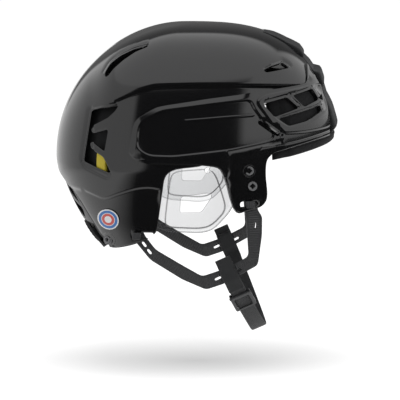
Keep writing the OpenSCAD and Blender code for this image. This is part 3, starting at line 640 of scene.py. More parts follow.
def weave_group():
    """Narrow woven webbing on the piece's own run map, in metres: warp ribs along it, picks across it. Its shade
    follows their height: painted highlight on the raised threads, painted shade between them.
    """
    wires, source, target = new_group("webbing_weave", {"Ribs": 900.0, "Picks": 620.0}, ("Height", "Shade"))
    maths = wires.maths
    x, y, _ = wires.split(source["Vector"])
    ribs = maths("SINE", maths("MULTIPLY", y, maths("MULTIPLY", source["Ribs"], 2 * math.pi)))
    shift = maths("MULTIPLY", maths("SIGN", ribs), 0.25)
    picks = maths("ADD", maths("MULTIPLY", x, source["Picks"]), shift)
    picks = maths("SINE", maths("MULTIPLY", picks, 2 * math.pi))
    bulge = maths("MULTIPLY", maths("ABSOLUTE", ribs), maths("ADD", maths("MULTIPLY", picks, 0.5), 0.5))
    wires.feed(target["Height"], bulge)
    # Shade from the bulge's height: painted highlight on the raised threads, painted shade in the hollows.
    wires.feed(target["Shade"], maths("ADD", maths("MULTIPLY", bulge, 0.7), 0.3, clamp=True))
    return wires.tree


GROUPS = {}
GROUP_MAKERS = {"moulded_grain": grain_group, "foam_cells": foam_group, "webbing_weave": weave_group}
RIDGE_PITCH = 0.0023
RIDGE_REACH = 0.0046
RIDGE_START = 0.02
CLEAR_FACE = 0.06
CLEAR_EDGE = 0.8
CLEAR_FRONT = (0.955, 0.957, 0.96)
# Tint of the light through the clear sheet where a face turns away from view: a painted dark edge.
CLEAR_PAINTED_EDGE_SHADE = (0.12, 0.12, 0.125)
SEAL_WHITE = (0.75, 0.75, 0.76)
SEAL_RINGS = [(0.0, SEAL_WHITE), (0.33, (0.55, 0.09, 0.08)), (0.58, SEAL_WHITE), (0.63, (0.05, 0.16, 0.42)),
              (0.88, SEAL_WHITE)]


def times(colour, share):
    return tuple(c * share for c in colour)


def plastic(name, colour, roughness, spread, grain_scale, grain, wave, bump, coat=0.0, coat_roughness=0.05,
            dust=0.02, metallic=0.0, ridges=False):
    """Moulded plastic or metal: grain and slight unevenness in its gloss, with a trace of dust in the
    colour, and low cross ridges along the piece's own run map if asked for."""
    wires = Shader(name)
    group = wires.group("moulded_grain", Grain_Scale=grain_scale, Grain_Height=grain, Wave_Height=wave,
                        Roughness=roughness, Roughness_Spread=spread)
    light = tuple(min(1.0, c + dust) for c in colour)
    under = ridge_normal(wires) if ridges else None
    return wires.look(Base_Color=wires.mix_colours(group["Dust"], colour, light), Roughness=group["Roughness"],
                      Coat_Weight=coat, Coat_Roughness=coat_roughness, Metallic=metallic,
                      Normal=wires.bump(group["Height"], bump, 0.0002, under))


def ridge_normal(wires):
    """Low cross ridges in the middle of a moulded arm, clear of its ends."""
    maths = wires.maths
    x, y, _ = wires.split(wires.place["UV"])
    wave = maths("SINE", maths("MULTIPLY", x, 2 * math.pi / RIDGE_PITCH))
    shape = maths("MULTIPLY", wave, maths("LESS_THAN", y, RIDGE_REACH))
    return wires.bump(maths("MULTIPLY", shape, maths("GREATER_THAN", x, RIDGE_START)), 0.5, 0.0004)


def foam(name, colour, cell_scale=700.0, bump=0.5):
    """Matte closed-cell foam with small pits, lighter on the cell walls and darker in the pits as painted shade, over
    random blotches.
    """
    wires = Shader(name)
    group = wires.group("foam_cells", Cell_Scale=cell_scale)
    # Colour from the foam's own up to 1.9 times it by the group's shade: random blotches and painted shade in the
    # pits.
    return wires.look(Base_Color=wires.mix_colours(group["Shade"], colour, times(colour, 1.9)), Roughness=0.85,
                      Specular_IOR_Level=0.25, Sheen_Weight=0.06, Sheen_Roughness=0.5,
                      Normal=wires.bump(group["Height"], bump, 0.0003))


def clear_sheet(name, colour):
    """Clear polycarbonate: light passes straight through, and more of the polished surface shows the
    further a face turns away. The light that passes darkens as a face turns away, a painted dark edge."""
    wires = Shader(name)
    group = wires.group("moulded_grain", Grain_Scale=300.0, Grain_Height=0.05, Wave_Height=0.3, Roughness=0.05,
                        Roughness_Spread=0.04)
    wires.look(Base_Color=wires.mix_colours(group["Dust"], times(colour, 0.3), colour),
               Roughness=group["Roughness"], Normal=wires.bump(group["Height"], 0.05, 0.0005))
    facing = wires.add("LayerWeight", Blend=0.5).outputs["Facing"]
    # The more a face turns away, the darker the light through it: a painted dark edge.
    painted_edge_share = wires.maths("MULTIPLY", facing, 1.15, clamp=True)
    clear = wires.add("BsdfTransparent", Color=wires.mix_colours(painted_edge_share, CLEAR_FRONT, CLEAR_PAINTED_EDGE_SHADE))
    edge = wires.maths("MULTIPLY", wires.maths("POWER", facing, 1.3), CLEAR_EDGE)
    share = wires.maths("ADD", edge, CLEAR_FACE, clamp=True)
    wires.surface(wires.add("MixShader", share, clear.outputs[0], wires.principled.outputs[0]))
    return wires.material


def woven(name, colour):
    """Polyester webbing: warp ribs and picks in height, and in colour as painted highlight on the raised threads and
    painted shade between them, with a soft sheen.
    """
    wires = Shader(name)
    group = wires.group("webbing_weave", "UV")
    # Colour from half to 2.2 times the webbing's own by the weave's shade: painted highlight and painted shade.
    return wires.look(Base_Color=wires.mix_colours(group["Shade"], times(colour, 0.5), times(colour, 2.2)),
                      Roughness=0.7, Sheen_Weight=0.25, Sheen_Roughness=0.4,
                      Normal=wires.bump(group["Height"], 0.7, 0.0004))


def seal(name):
    """Printed round seal: white rim, blue ring, red ring and white middle, by the distance from its centre."""
    wires = Shader(name)
    maths = wires.maths
    x, _, z = wires.split(wires.place["Object"])
    middle_x, middle_z = the_skin().shares(DECAL_SHARE) * MM
    dx, dz = (maths("POWER", maths("SUBTRACT", a, float(b)), 2.0) for a, b in ((x, middle_x), (z, middle_z)))
    far = maths("SQRT", maths("ADD", dx, dz))
    steps = wires.add("ValToRGB", maths("DIVIDE", far, DECAL_R * MM))
    steps.color_ramp.interpolation = "CONSTANT"
    while len(steps.color_ramp.elements) < len(SEAL_RINGS):
        steps.color_ramp.elements.new(0.5)
    for element, (position, colour) in zip(steps.color_ramp.elements, SEAL_RINGS):
        element.position = position
        element.color = (*colour, 1.0)
    group = wires.group("moulded_grain", Grain_Scale=800.0, Roughness=0.25, Roughness_Spread=0.1)
    return wires.look(Base_Color=steps.outputs[0], Roughness=group["Roughness"],
                      Normal=wires.bump(group["Height"], 0.05, 0.0002))


FINISHES = {}


def finish(name):
    """The named finish of this helmet, made the first time it is asked for."""
    hue = bpy.context.scene.helmet_colours
    makers = {
        "gloss_shell": lambda: plastic(name, hue.shell, 0.13, 0.05, 500.0, 0.04, 0.25, 0.05, coat=0.6,
                                       coat_roughness=0.03, dust=0.004),
        "matte_trim": lambda: plastic(name, hue.trim, 0.52, 0.14, 1500.0, 0.6, 0.15, 0.35, dust=0.012),
        "satin_trim": lambda: plastic(name, hue.trim, 0.36, 0.12, 1100.0, 0.35, 0.2, 0.2, dust=0.01),
        "loop_plastic": lambda: plastic(name, (0.04, 0.0405, 0.0425), 0.42, 0.16, 1300.0, 0.5, 0.2, 0.3, dust=0.014,
                                        ridges=True),
        "foam_black": lambda: foam(name, hue.foam),
        "sweatband": lambda: foam(name, hue.foam, cell_scale=420.0, bump=0.8),
        "pod_yellow": lambda: plastic(name, hue.pod, 0.42, 0.15, 800.0, 0.4, 0.3, 0.3, dust=0.05),
        "clear_guard": lambda: clear_sheet(name, hue.clear),
        "webbing": lambda: woven(name, hue.web),
        "black_metal": lambda: plastic(name, (0.05, 0.05, 0.052), 0.35, 0.2, 1400.0, 0.3, 0.1, 0.15, dust=0.03,
                                       metallic=1.0),
        "nut_metal": lambda: plastic(name, (0.15, 0.15, 0.155), 0.4, 0.15, 1400.0, 0.3, 0.1, 0.15, dust=0.05),
        "buckle_plastic": lambda: plastic(name, (0.035, 0.036, 0.038), 0.42, 0.16, 1300.0, 0.6, 0.2, 0.4),
        "seal": lambda: seal(name),
        "nylon": lambda: plastic(name, (0.5, 0.5, 0.48), 0.4, 0.1, 900.0, 0.3, 0.2, 0.2),
    }
    if name not in FINISHES:
        FINISHES[name] = makers[name]()
    return FINISHES[name]


def dress(node, finish_name):
    """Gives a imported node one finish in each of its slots, and its mesh is left as it is."""
    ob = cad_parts[node]
    if not ob.material_slots:
        ob.data.materials.append(finish(finish_name))
    for slot in ob.material_slots:
        slot.material = finish(finish_name)


def show(ob, finish_name, body, node, slot):
    """Gives a new object its finish. It rides on a body and is shown in place of a node, if one is named."""
    ob.data.materials.append(finish(finish_name))
    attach(ob, body)
    if node:
        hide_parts(node)


def the_skin():
    return Skin(bpy.context.scene.helmet_sizes)


def the_spacing():
    return bpy.context.scene.helmet_sizes.spacing / MM * 1.0


# Offsets of the two shells over the base skin, as in the construction

SHOULDER = 28.6
SHOULDER_FALL = 0.0017
SHOULDER_BEND = -14.0
SHOULDER_DROP = 0.134
SHOULDER_DROP_POWER = 1.4
SHOULDER_BLEND = 1.5
DOME_BACK = -38.0
CROWN_EASE = 0.95
CROWN_EASE_WIDTH = 58.0
SEAT_ANGLE = 9.5
SEAT_DROP = 3.2
SEAT_EDGE = 2.5
SEAT_CENTRE = -40
DOME_FADE = 10.0
BAND_GAP = 0.4
BAND_GAP_REAR = 2.0
BAND_END = -12
BAND_WIDENING = 11
LEG_RISE = 0.2
LEG_FOOT = -2.2
LEG_FOOT_SLOPE = 0.19
LEG_SPAN = (4.5, 20)
LEG_FRONT = 26.8
LEG_REAR = 12


def shoulder_at(x):
    """The crown's shoulder line, in hundredths: it falls a little towards the front and, behind the bend,
    runs down to the rear vent."""
    drop = SHOULDER_DROP * np.maximum(0.0, SHOULDER_BEND - x) ** SHOULDER_DROP_POWER
    return SHOULDER - SHOULDER_FALL * x * x - drop


def shoulder_depth(skin, p):
    """Height over the crown's shoulder line in hundredths of the helmet's height."""
    return p[..., 2] / skin.unit_h - shoulder_at(p[..., 0] / skin.unit_l)


def crown_rise(skin, p):
    """The crown stands proud over the shoulder line, and eases off towards its middle and the back."""
    x = p[..., 0] / skin.unit_l
    ease = 1 - CROWN_EASE * smooth(1.15 - np.abs(p[..., 1]) / CROWN_EASE_WIDTH)
    return (skin.dome_rise * ease * smooth(shoulder_depth(skin, p) / SHOULDER_BLEND + 0.5)
            * smooth((x - DOME_BACK) / DOME_FADE))


def band_in(skin, p):
    """Gap between the rear shell and the band, wider at the band's rear end."""
    x = p[..., 0] / skin.unit_l
    return BAND_GAP + (BAND_GAP_REAR - BAND_GAP) * smooth((BAND_END - x) / BAND_WIDENING)


def front_out(skin, p):
    """Outer face of the front shell: the band's level, easing down to the temple leg's."""
    x = p[..., 0] / skin.unit_l
    z = p[..., 2] / skin.unit_h
    foot = LEG_FOOT + LEG_FOOT_SLOPE * np.clip(x - LEG_SPAN[0], 0, LEG_SPAN[1])
    mix = np.maximum(smooth((z - foot) / 3), smooth((x - LEG_FRONT) / 4))
    mix = np.maximum(mix, smooth((LEG_REAR - x) / 2.4))
    aside = np.degrees(np.arctan2(np.abs(p[..., 1]), p[..., 0] - SEAT_CENTRE))
    seat = SEAT_DROP * smooth((SEAT_ANGLE + SEAT_EDGE - aside) / SEAT_EDGE)
    return LEG_RISE + (band_in(skin, p) + skin.wall - LEG_RISE) * mix - seat * (p[..., 0] > 0)


# Rear shell

REAR_SIDE_SHARES = [
    (-28.6, -43.2), (-21.6, -40.5), (-16.4, -37.2), (-13.8, -34.5), (-13.4, -29.4), (-11.7, -14.7), (-11, -9.2),
    (-8, -6.4), (2.9, -5.1), (4.2, -1.4), (5.2, 19.3), (18.6, 20.6), (22.3, 23.9), (24, 25), (38.3, 26.6),
    (38, 31), (43.6, 33), (43.6, 69), (-59.5, 69), (-59.5, -12)]
NAPE_ARCH_SHARES = [(0, -12), (19.1, -14.7), (26.1, -18.4), (29.6, -23.4), (31.2, -32), (31.8, -39)]
NAPE_FOOT_SHARE = (33.2, -43.6)
REAR_VENT_SHARES = [
    (-37.6, 18), (-27.4, 21), (-28.6, 18.6), (-31.2, 15.6), (-36.6, 11.8), (-37.8, 9.9), (-37, 8.2), (-31.4, 10.6),
    (-31.2, 9.6), (-32.5, 0.9), (-37.2, 4.9), (-38.2, 3.8), (-37.6, 1.7), (-33.2, -1.4), (-30.5, -7.9),
    (-31.2, -8.6), (-40.5, -4.4)]
VENT_WELL_SHARES = [(-41.3, -4), (-39.5, -7.4), (-31, -11.6), (-29.6, -9), (-32.6, -1.5), (-36, 0), (-36, 19),
                    (-38.4, 19)]
SLIT_SHARES = [(-31.6, 32.4), (-29.5, 35.7), (-26, 39.2), (-21.6, 42.3), (-17.2, 44.2)]
SLIT_HALF_WIDTHS = [2.2, 2.6, 2.2, 1.3, 0.6]
TOP_VENT_SHARES = [(22.9, 34.2), (25.4, 35.6), (29.7, 36.9), (32.4, 34.5), (27.6, 33.7), (24, 33.2)]
LOWER_INSET_SHARES = [(-39.4, -17.9), (-36, -19.2), (-32.5, -20.7), (-27.9, -17.9), (-21.2, -14.9), (-16.4, -14.3),
                      (-13, -15.2)]
REAR_SLOT_SHARE = (-19.1, -36.3)
FRONT_SLOT_SHARE = (18.8, -22.8)
SLOT_HEIGHT = 5.4
REAR_SLOT_WIDTH = 21.0
FRONT_SLOT_WIDTH = 17.0
SCREW_SHARE = (-31.6, -39.9)
WELL_DEPTH = 1.6
INSET_DEPTH = 1.1
SEAT_DEPTH = 0.9
SCREW_SEAT_R = 7.0


def bar_outline(middle, half_widths):
    """Closed outline round a line: the line shifted to both sides by its half-widths, with round ends."""
    middle = np.asarray(middle, float)
    along = unit_rows(np.gradient(middle, axis=0))
    side = np.stack([-along[:, 1], along[:, 0]], axis=1) * np.asarray(half_widths)[:, None]
    first = middle[0] - along[0] * half_widths[0]
    last = middle[-1] + along[-1] * half_widths[-1]
    return np.concatenate([middle + side, last[None], (middle - side)[::-1], first[None]])


def box_outline(middle, width, height):
    x, z = middle
    return [(x - width / 2, z - height / 2), (x + width / 2, z - height / 2),
            (x + width / 2, z + height / 2), (x - width / 2, z + height / 2)]


def circle_outline(middle, radius, count=24):
    turn = np.linspace(0, 2 * math.pi, count, endpoint=False)
    return np.stack([middle[0] + radius * np.cos(turn), middle[1] + radius * np.sin(turn)], axis=1)


class HELMET_OT_rear_shell(bpy.types.Operator):
    """Rear half of the hard shell: crown, back, side vents with their ribs, slits and the nape arch"""

    bl_idname = "helmet.rear_shell"
    bl_label = "Rear shell"

    def execute(self, context):
        skin = the_skin()
        foot = skin.back_shares([NAPE_FOOT_SHARE])[0]
        t, v = skin.locate_back(foot[:1], foot[1:])
        start = [[skin.at(t, v)[0, 0], foot[1]]]
        side = Line(np.concatenate([start, skin.shares(REAR_SIDE_SHARES)]), 9.0, closed=False)
        arch = Line(np.concatenate([skin.back_shares(NAPE_ARCH_SHARES), [foot]]), 9.0, closed=False, plane="back")
        holes = [Line(skin.shares(REAR_VENT_SHARES), 1.7),
                 Line(bar_outline(skin.shares(SLIT_SHARES), SLIT_HALF_WIDTHS), 2.0),
                 Line(skin.shares(TOP_VENT_SHARES), 1.6),
                 Line(box_outline(skin.shares(REAR_SLOT_SHARE), REAR_SLOT_WIDTH, SLOT_HEIGHT), 2.0)]
        well = Line(skin.shares(VENT_WELL_SHARES), 3.0)
        x = np.linspace(DOME_BACK, 38.2, 60)
        shoulder = Line(skin.shares(np.stack([x, shoulder_at(x)], axis=1)), 0, closed=False)
        inset = Line(skin.shares(LOWER_INSET_SHARES), 8.0, closed=False)
        lower = np.concatenate([inset.points, skin.shares([(-13, -60), (-60, -60), (-60, -17.9)])])
        seat = Line(circle_outline(skin.shares(SCREW_SHARE), SCREW_SEAT_R), 0)

        def outer(p):
            off = crown_rise(skin, p) - WELL_DEPTH * step_in(p, well.points, 2.0, 0.3)
            return off - INSET_DEPTH * step_in(p, lower, 3.2, 0.5) - SEAT_DEPTH * step_in(p, seat.points, 1.4, 0.5)

        def inner(p):
            return crown_rise(skin, p) - skin.wall

        relief = [(shoulder, 4.4), (well, 3.4), (inset, 4.2), (seat, 2.0)]
        sheet = Sheet(skin, [side, arch], holes, outer, inner, relief, the_spacing(), off=2.0)
        show(sheet.mesh("rear_shell_skin"), "gloss_shell", "rear", "rear_shell", "gloss_black")
        return {"FINISHED"}


# Front shell

FRONT_OUTLINE_SHARES = [
    (-21.6, 14.7), (-14.5, 20.2), (-11.5, 21.1), (4.5, 23.9), (23, 26.2), (37.7, 27.7), (39, 28.5), (39.4, 41.4),
    (59.5, 41.4), (59.5, 4.1), (48.7, 4.1), (42, 3.2), (33.8, 1.4), (28.3, 0), (26.4, -1.4), (24.9, -3.7),
    (24.7, -10.1), (25.5, -18.4), (25.1, -22.1), (22.9, -24.8), (17.1, -26.2), (15.4, -27.1), (13.8, -25.7),
    (10.7, -14), (8.9, -7.6), (7.2, -5.5), (1.5, -4.5), (-18.6, -3.7), (-23.8, 0)]
PANEL_SHARES = [
    (-20.8, 2.8), (-20.3, 11.6), (-18.8, 14.2), (-12.2, 18.6), (4.5, 21.1), (18.3, 22.7), (19.8, 18.6), (26.9, 7.4),
    (25.4, 4.6), (11.5, 1.4), (-8.6, -1.0), (-16.8, -0.6)]
CREASE_SHARES = [(-4, 14.2), (8, 15.2), (19, 15.9)]
FRAME_SHARES = [
    (19.6, 21.2), (22.7, 23.9), (32.6, 25.4), (42.4, 26.4), (44.7, 24.6), (46.4, 15.2), (47.2, 7.4), (36.2, 7),
    (29, 7.3), (26.2, 10.1)]
VENT_FLOOR_SHARES = [
    (22, 21.7), (32, 24), (41.6, 26), (44.2, 22.6), (44.9, 14.8), (38.7, 11), (31.4, 9.8), (27, 13.4)]
FRONT_VENT_SHARES = [
    [(22.6, 20.8), (31.4, 23), (35.8, 18), (26.8, 14.9)],
    [(33.5, 23.5), (40.7, 25.4), (43.2, 20.4), (37.7, 18.1)],
    [(28.3, 14.2), (43.6, 18), (44.1, 15.4), (38.8, 12.1), (32, 10.7)]]
DIAGONAL_SLOT_SHARES = [(21.9, 13.3), (28.3, 7.4)]
BROW_GROOVE_SHARES = [(23, 1.9), (34, 3.4), (42, 5), (48.4, 5.9)]
BEVEL_DROP = 1.5
BEVEL_WIDTH = 6.5
BEVEL_END = 18.0
FRAME_RISE = 0.9
FLOOR_DROP = 0.9
GROOVE_DEPTH = 0.5
CREASE_RISE = 0.45
NUT_MIDDLE_SHARE = (18.9, -11.2)
NUT_TILT = -12.5
NUT_PITCH = 15.0
NUT_SEAT_R = 5.4


def nut_places(skin):
    """Places of the left side's two visor nuts, on the leg's skin at the middle between them."""
    x, z = skin.shares(NUT_MIDDLE_SHARE)
    y = skin.side_y(x, z, LEG_RISE)
    lean = math.radians(NUT_TILT)
    return [(x + s * NUT_PITCH / 2 * math.sin(lean), y, z + s * NUT_PITCH / 2 * math.cos(lean)) for s in (-1, 1)]


class HELMET_OT_front_shell(bpy.types.Operator):
    """Front half of the hard shell: side bands with their panels, vents in a frame and temple legs"""

    bl_idname = "helmet.front_shell"
    bl_label = "Front shell"

    def execute(self, context):
        skin = the_skin()
        outline = Line(skin.shares(FRONT_OUTLINE_SHARES), 6.5)
        holes = [Line(skin.shares(s), 2.2) for s in FRONT_VENT_SHARES]
        holes.append(Line(bar_outline(skin.shares(DIAGONAL_SLOT_SHARES), [1.9, 1.9]), 1.4))
        holes.append(Line(box_outline(skin.shares(FRONT_SLOT_SHARE), FRONT_SLOT_WIDTH, SLOT_HEIGHT), 2.0))
        panel = Line(skin.shares(PANEL_SHARES), 6.0)
        frame_line = Line(skin.shares(FRAME_SHARES), 6.0)
        floor_line = Line(skin.shares(VENT_FLOOR_SHARES), 5.0)
        crease = Line(skin.shares(CREASE_SHARES), 3.0, closed=False)
        brow_groove = Line(skin.shares(BROW_GROOVE_SHARES), 8.0, closed=False)
        seats = []
        for x, y, z in nut_places(skin):
            proud = skin.side_y(x, z, front_out(skin, skin.at(*skin.locate([x], [z])))) - y
            seats.append((Line(circle_outline((x, z), NUT_SEAT_R), 0), max(0.0, proud)))

        def outer(p):
            x, z = p[..., 0], p[..., 2]
            off = front_out(skin, p)
            side = smooth((BEVEL_END - x / skin.unit_l) / 4) * smooth((z / skin.unit_h + 3.6) / 2)
            off = off - BEVEL_DROP * side * (1 - np.clip(depth_in(x, z, outline.points) / BEVEL_WIDTH, 0.0, 1.0))
            off = off - skin.panel_depth * step_in(p, panel.points, 2.0)
            off = off + FRAME_RISE * step_in(p, frame_line.points, 2.4, 0.3)
            off = off - FLOOR_DROP * step_in(p, floor_line.points, 2.2, 0.5)
            off = off + CREASE_RISE * smooth(1 - crease.distance(p) / 1.9)
            for ring, depth in seats:
                off = off - depth * step_in(p, ring.points, 1.2, 0.5)
            return off - GROOVE_DEPTH * smooth(1.4 - brow_groove.distance(p) / 0.7)

        def inner(p):
            return front_out(skin, p) - skin.wall

        relief = [(panel, 4.8), (frame_line, 4.0), (floor_line, 2.8), (crease, 4.4), (brow_groove, 2.6)]
        relief += [(ring, 1.8) for ring, depth in seats]
        sheet = Sheet(skin, [outline], holes, outer, inner, relief, the_spacing(), off=3.0)
        show(sheet.mesh("front_shell_skin"), "gloss_shell", "front", "front_shell", "gloss_black")
        return {"FINISHED"}


# Closed forms shared by the padding, straps and fittings

def quads(number):
    """Faces of a grid of point numbers, turned outwards when columns run anticlockwise and rows upwards."""
    return np.stack([number[:-1, :-1], number[:-1, 1:], number[1:, 1:], number[1:, :-1]], axis=-1).reshape(-1, 4)


def stitched(name, outer, inner, mirror=False):
    """Closed mesh of an outer and an inner grid whose borders coincide."""
    rows, cols = outer.shape[:2]
    number = np.arange(rows * cols).reshape(rows, cols)
    twin = number + rows * cols
    twin[[0, -1]] = number[[0, -1]]
    twin[:, [0, -1]] = number[:, [0, -1]]
    faces = np.concatenate([quads(number), quads(twin)[:, ::-1]])
    used, faces = np.unique(faces, return_inverse=True)
    points, faces = np.concatenate([outer.reshape(-1, 3), inner.reshape(-1, 3)])[used], faces.reshape(-1, 4)
    return finish_mesh(name, points * FLIP, faces[:, ::-1]) if mirror else finish_mesh(name, points, faces)


def pillow(a, b, power):
    """Share of the thickness at a place: ((1 - |a|^n)(1 - |b|^n))^(1/2.2), which rounds the edges."""
    return np.maximum(0.0, (1 - np.abs(a) ** power) * (1 - np.abs(b) ** power)) ** (1 / 2.2)


def crowded(count):
    """Places from -1 to 1 that crowd towards both ends."""
    return np.sin(np.linspace(-1, 1, count) * math.pi / 2)


def pad(name, skin, span, out, inn, cols=36, rows=24, mirror=False, power=14.0, low=None, relief=None,
        outer_drop=None):
    """A cushion that follows the skin between two plan angles and two levels. Both faces part from the
    middle surface by the pillow share, over points that crowd towards the edges. low gives the lower
    edge's level at each place across, and relief what is taken off the outer and the inner face."""
    a, b = np.meshgrid(crowded(cols), crowded(rows))
    t = span[0] + (span[1] - span[0]) * (a + 1) / 2
    start = span[2] if low is None else low(a)
    v = start + (span[3] - start) * (b + 1) / 2
    share = pillow(a, b, power)
    cut_out, cut_in = (0.0, 0.0) if relief is None else relief(a, b)
    if outer_drop is not None:
        out = out - outer_drop(a)
    middle, half = (out + inn) / 2, (out - inn) / 2
    outer = skin.at(t, v, middle + share * (half - cut_out))
    inner = skin.at(t, v, middle - share * (half - cut_in))
    return stitched(name, outer, inner, mirror)


def groove(value, place, width, depth):
    """Depth of a round-bottomed groove across a direction."""
    return depth * np.maximum(0.0, 1 - ((value - place) / width) ** 2)


def outward(points, faces):
    """The faces, all reversed if they enclose a negative volume."""
    a, b, c = (points[faces[:, k]] for k in range(3))
    volume = (a * np.cross(b, c)).sum()
    return faces if volume > 0 else faces[:, ::-1]


def run_map(ob, values):
    """Stores a map of metres along and across the piece at each point."""
    me = ob.data
    index = np.empty(len(me.loops), np.int32)
    me.loops.foreach_get("vertex_index", index)
    me.uv_layers.new(name="run").data.foreach_set("uv", (np.asarray(values) * MM)[index].ravel())
    return ob


def joined(name, parts, sharp=None):
    """One mesh of several closed sets of points, triangles and run maps."""
    points, faces, values, start = [], [], [], 0
    for p, f, m in parts:
        points.append(p)
        faces.append(outward(p, f) + start)
        values.append(m)
        start += len(p)
    ob = finish_mesh(name, np.concatenate(points), np.concatenate(faces))
    if sharp:
        ob.data.set_sharp_from_angle(angle=math.radians(sharp))
    return run_map(ob, np.concatenate(values))


def loft(rings, across, along):
    """Points, triangles and run map of a closed band through rings of points, with flat ends."""
    count, around = rings.shape[:2]
    i, j = np.meshgrid(np.arange(count - 1), np.arange(around), indexing="ij")
    i, j, k = i.ravel(), j.ravel(), (j.ravel() + 1) % around
    a, b, c, d = i * around + j, i * around + k, (i + 1) * around + k, (i + 1) * around + j
    fan = np.arange(1, around - 1)
    first = np.stack([0 * fan, fan + 1, fan], axis=1)
    last = np.stack([0 * fan, fan, fan + 1], axis=1) + (count - 1) * around
    faces = np.concatenate([np.stack([a, b, c], axis=1), np.stack([a, c, d], axis=1), first, last])
    values = np.stack([np.repeat(along, around), np.tile(across, count)], axis=1)
    return rings.reshape(-1, 3), faces, values


def strap(path, width, thick, place):
    """A flat strap along a path in a plane. Its section is a rectangle whose faces close at the edges by
    the square root of 1 - u^8, and place turns path places and the place across into space."""
    path = resample(np.asarray(path, float), 1.2, closed=False)
    along = unit_rows(np.gradient(path, axis=0))
    normal = np.stack([-along[:, 1], along[:, 0]], axis=1)
    u = crowded(13)
    u = np.concatenate([u, u[-2:0:-1]])
    side = np.concatenate([np.ones(13), -np.ones(11)])
    h = side * thick / 2 * np.sqrt(np.maximum(0.0, 1 - u ** 8))
    flat = path[:, None] + h[None, :, None] * normal[:, None]
    across = np.broadcast_to(u * width / 2, flat.shape[:2])
    return loft(place(flat[..., 0], flat[..., 1], across), u * width / 2, run_along(path))


def plate(outline, holes, thick, edge, place, step=1.5, fill=4.0, spine=None):
    """Points, triangles and run map of a flat moulding with round edges: the half-thickness falls by
    edge (1 - sqrt(1 - u^2)) with u rising from 0 to 1 over the last stretch before each border. place
    turns plate places and height into space, and the run map measures along the spine if one is given."""
    loops = [resample(np.asarray(o, float), step) for o in [outline, *holes]]
    rings = []
    for loop in loops:
        along = np.roll(loop, -1, axis=0) - np.roll(loop, 1, axis=0)
        normal = unit_rows(np.stack([-along[:, 1], along[:, 0]], axis=1))
        rings += [loop + s * d * edge * normal for s in (-1, 1) for d in (0.3, 0.65, 1.0)]
    low, high = loops[0].min(axis=0), loops[0].max(axis=0)
    gx, gz = np.meshgrid(np.arange(low[0], high[0], fill), np.arange(low[1], high[1], fill))
    loose = np.concatenate([*rings, np.stack([gx.ravel(), gz.ravel()], axis=1)])

    def border(q):
        return np.min([line_distance(q[:, 0], q[:, 1], loop) for loop in loops], axis=0)

    wanted = np.concatenate([np.full(len(np.concatenate(rings)), 0.25 * edge), np.full(gx.size, edge + 0.9)])
    loose = loose[border(loose) > wanted]
    flat, tri = fill_triangles(loops, loose[within(loose, loops)])
    u = np.clip(1 - border(flat) / edge, 0.0, 1.0)
    h = thick / 2 - edge * (1 - np.sqrt(1 - u * u))
    n = len(flat)
    a, b = borders(tri).T
    rim = [np.stack([b, a, a + n], axis=1), np.stack([b, a + n, b + n], axis=1)]
    faces = np.concatenate([tri, tri[:, ::-1] + n, *rim])
    points = np.concatenate([place(flat[:, 0], flat[:, 1], h), place(flat[:, 0], flat[:, 1], -h)])
    values = flat if spine is None else along_spine(flat, spine)
    return points, faces, np.concatenate([values, values])


def along_spine(flat, spine):
    """Run along a polyline at the place nearest to each point, and the distance from it."""
    spine = np.asarray(spine, float)
    start, d = spine[:-1], np.diff(spine, axis=0)
    length = np.linalg.norm(d, axis=1)
    run = np.concatenate([[0.0], np.cumsum(length)])[:-1]
    s = np.clip(((flat[:, None] - start) * d).sum(axis=2) / length ** 2, 0.0, 1.0)
    gap = np.linalg.norm(flat[:, None] - start - s[..., None] * d, axis=2)
    best = gap.argmin(axis=1)
    pick = np.arange(len(flat))
    return np.stack([(run + s * length)[pick, best], gap[pick, best]], axis=1)


def turned(profile, origin, axis, notch=None, segments=64):
    """Points, triangles and run map of a turned part: a closed profile of radii and heights swept round
    an axis. notch changes the radii by the angle and the profile's place."""
    axis = np.asarray(axis, float) / np.linalg.norm(axis)
    first = np.cross(axis, [0.0, 0.0, 1.0])
    first /= np.linalg.norm(first)
    second = np.cross(axis, first)
    turn = np.linspace(0, 2 * math.pi, segments, endpoint=False)
    r, h = np.asarray(profile, float).T
    r = np.broadcast_to(r[:, None], (len(r), segments))
    if notch is not None:
        r = notch(turn[None], r, h[:, None])
    spoke = np.cos(turn)[None, :, None] * first + np.sin(turn)[None, :, None] * second
    points = np.asarray(origin) + r[..., None] * spoke + h[:, None, None] * axis
    number = np.arange(points.shape[0] * segments).reshape(-1, segments)
    number = np.vstack([number, number[:1]])
    number = np.hstack([number, number[:, :1]])
    q = quads(number)
    points = points.reshape(-1, 3)
    return points, np.concatenate([q[:, [0, 1, 2]], q[:, [0, 2, 3]]]), np.zeros((len(points), 2))


# Padding

UNDER = -3.3
FOAM_UNDER = -3.6
LINER = 14.0
POD = 5.0
LINER_EDGE = 4.0
CROWN_LINER_ANGLE = 45
CROWN_LINER_FRONT = 26
CROWN_LINER_BACK = -200
CHANNEL_PLACES = (-70.0, -15.0, 35.0)
CHANNEL_DEPTH = 2.5
CHANNEL_WIDTH = 9.0


def cushion(ob, body, node, slot="foam_black", material="foam_black"):
    """Shows a piece of padding."""
    show(ob, material, body, node, slot)


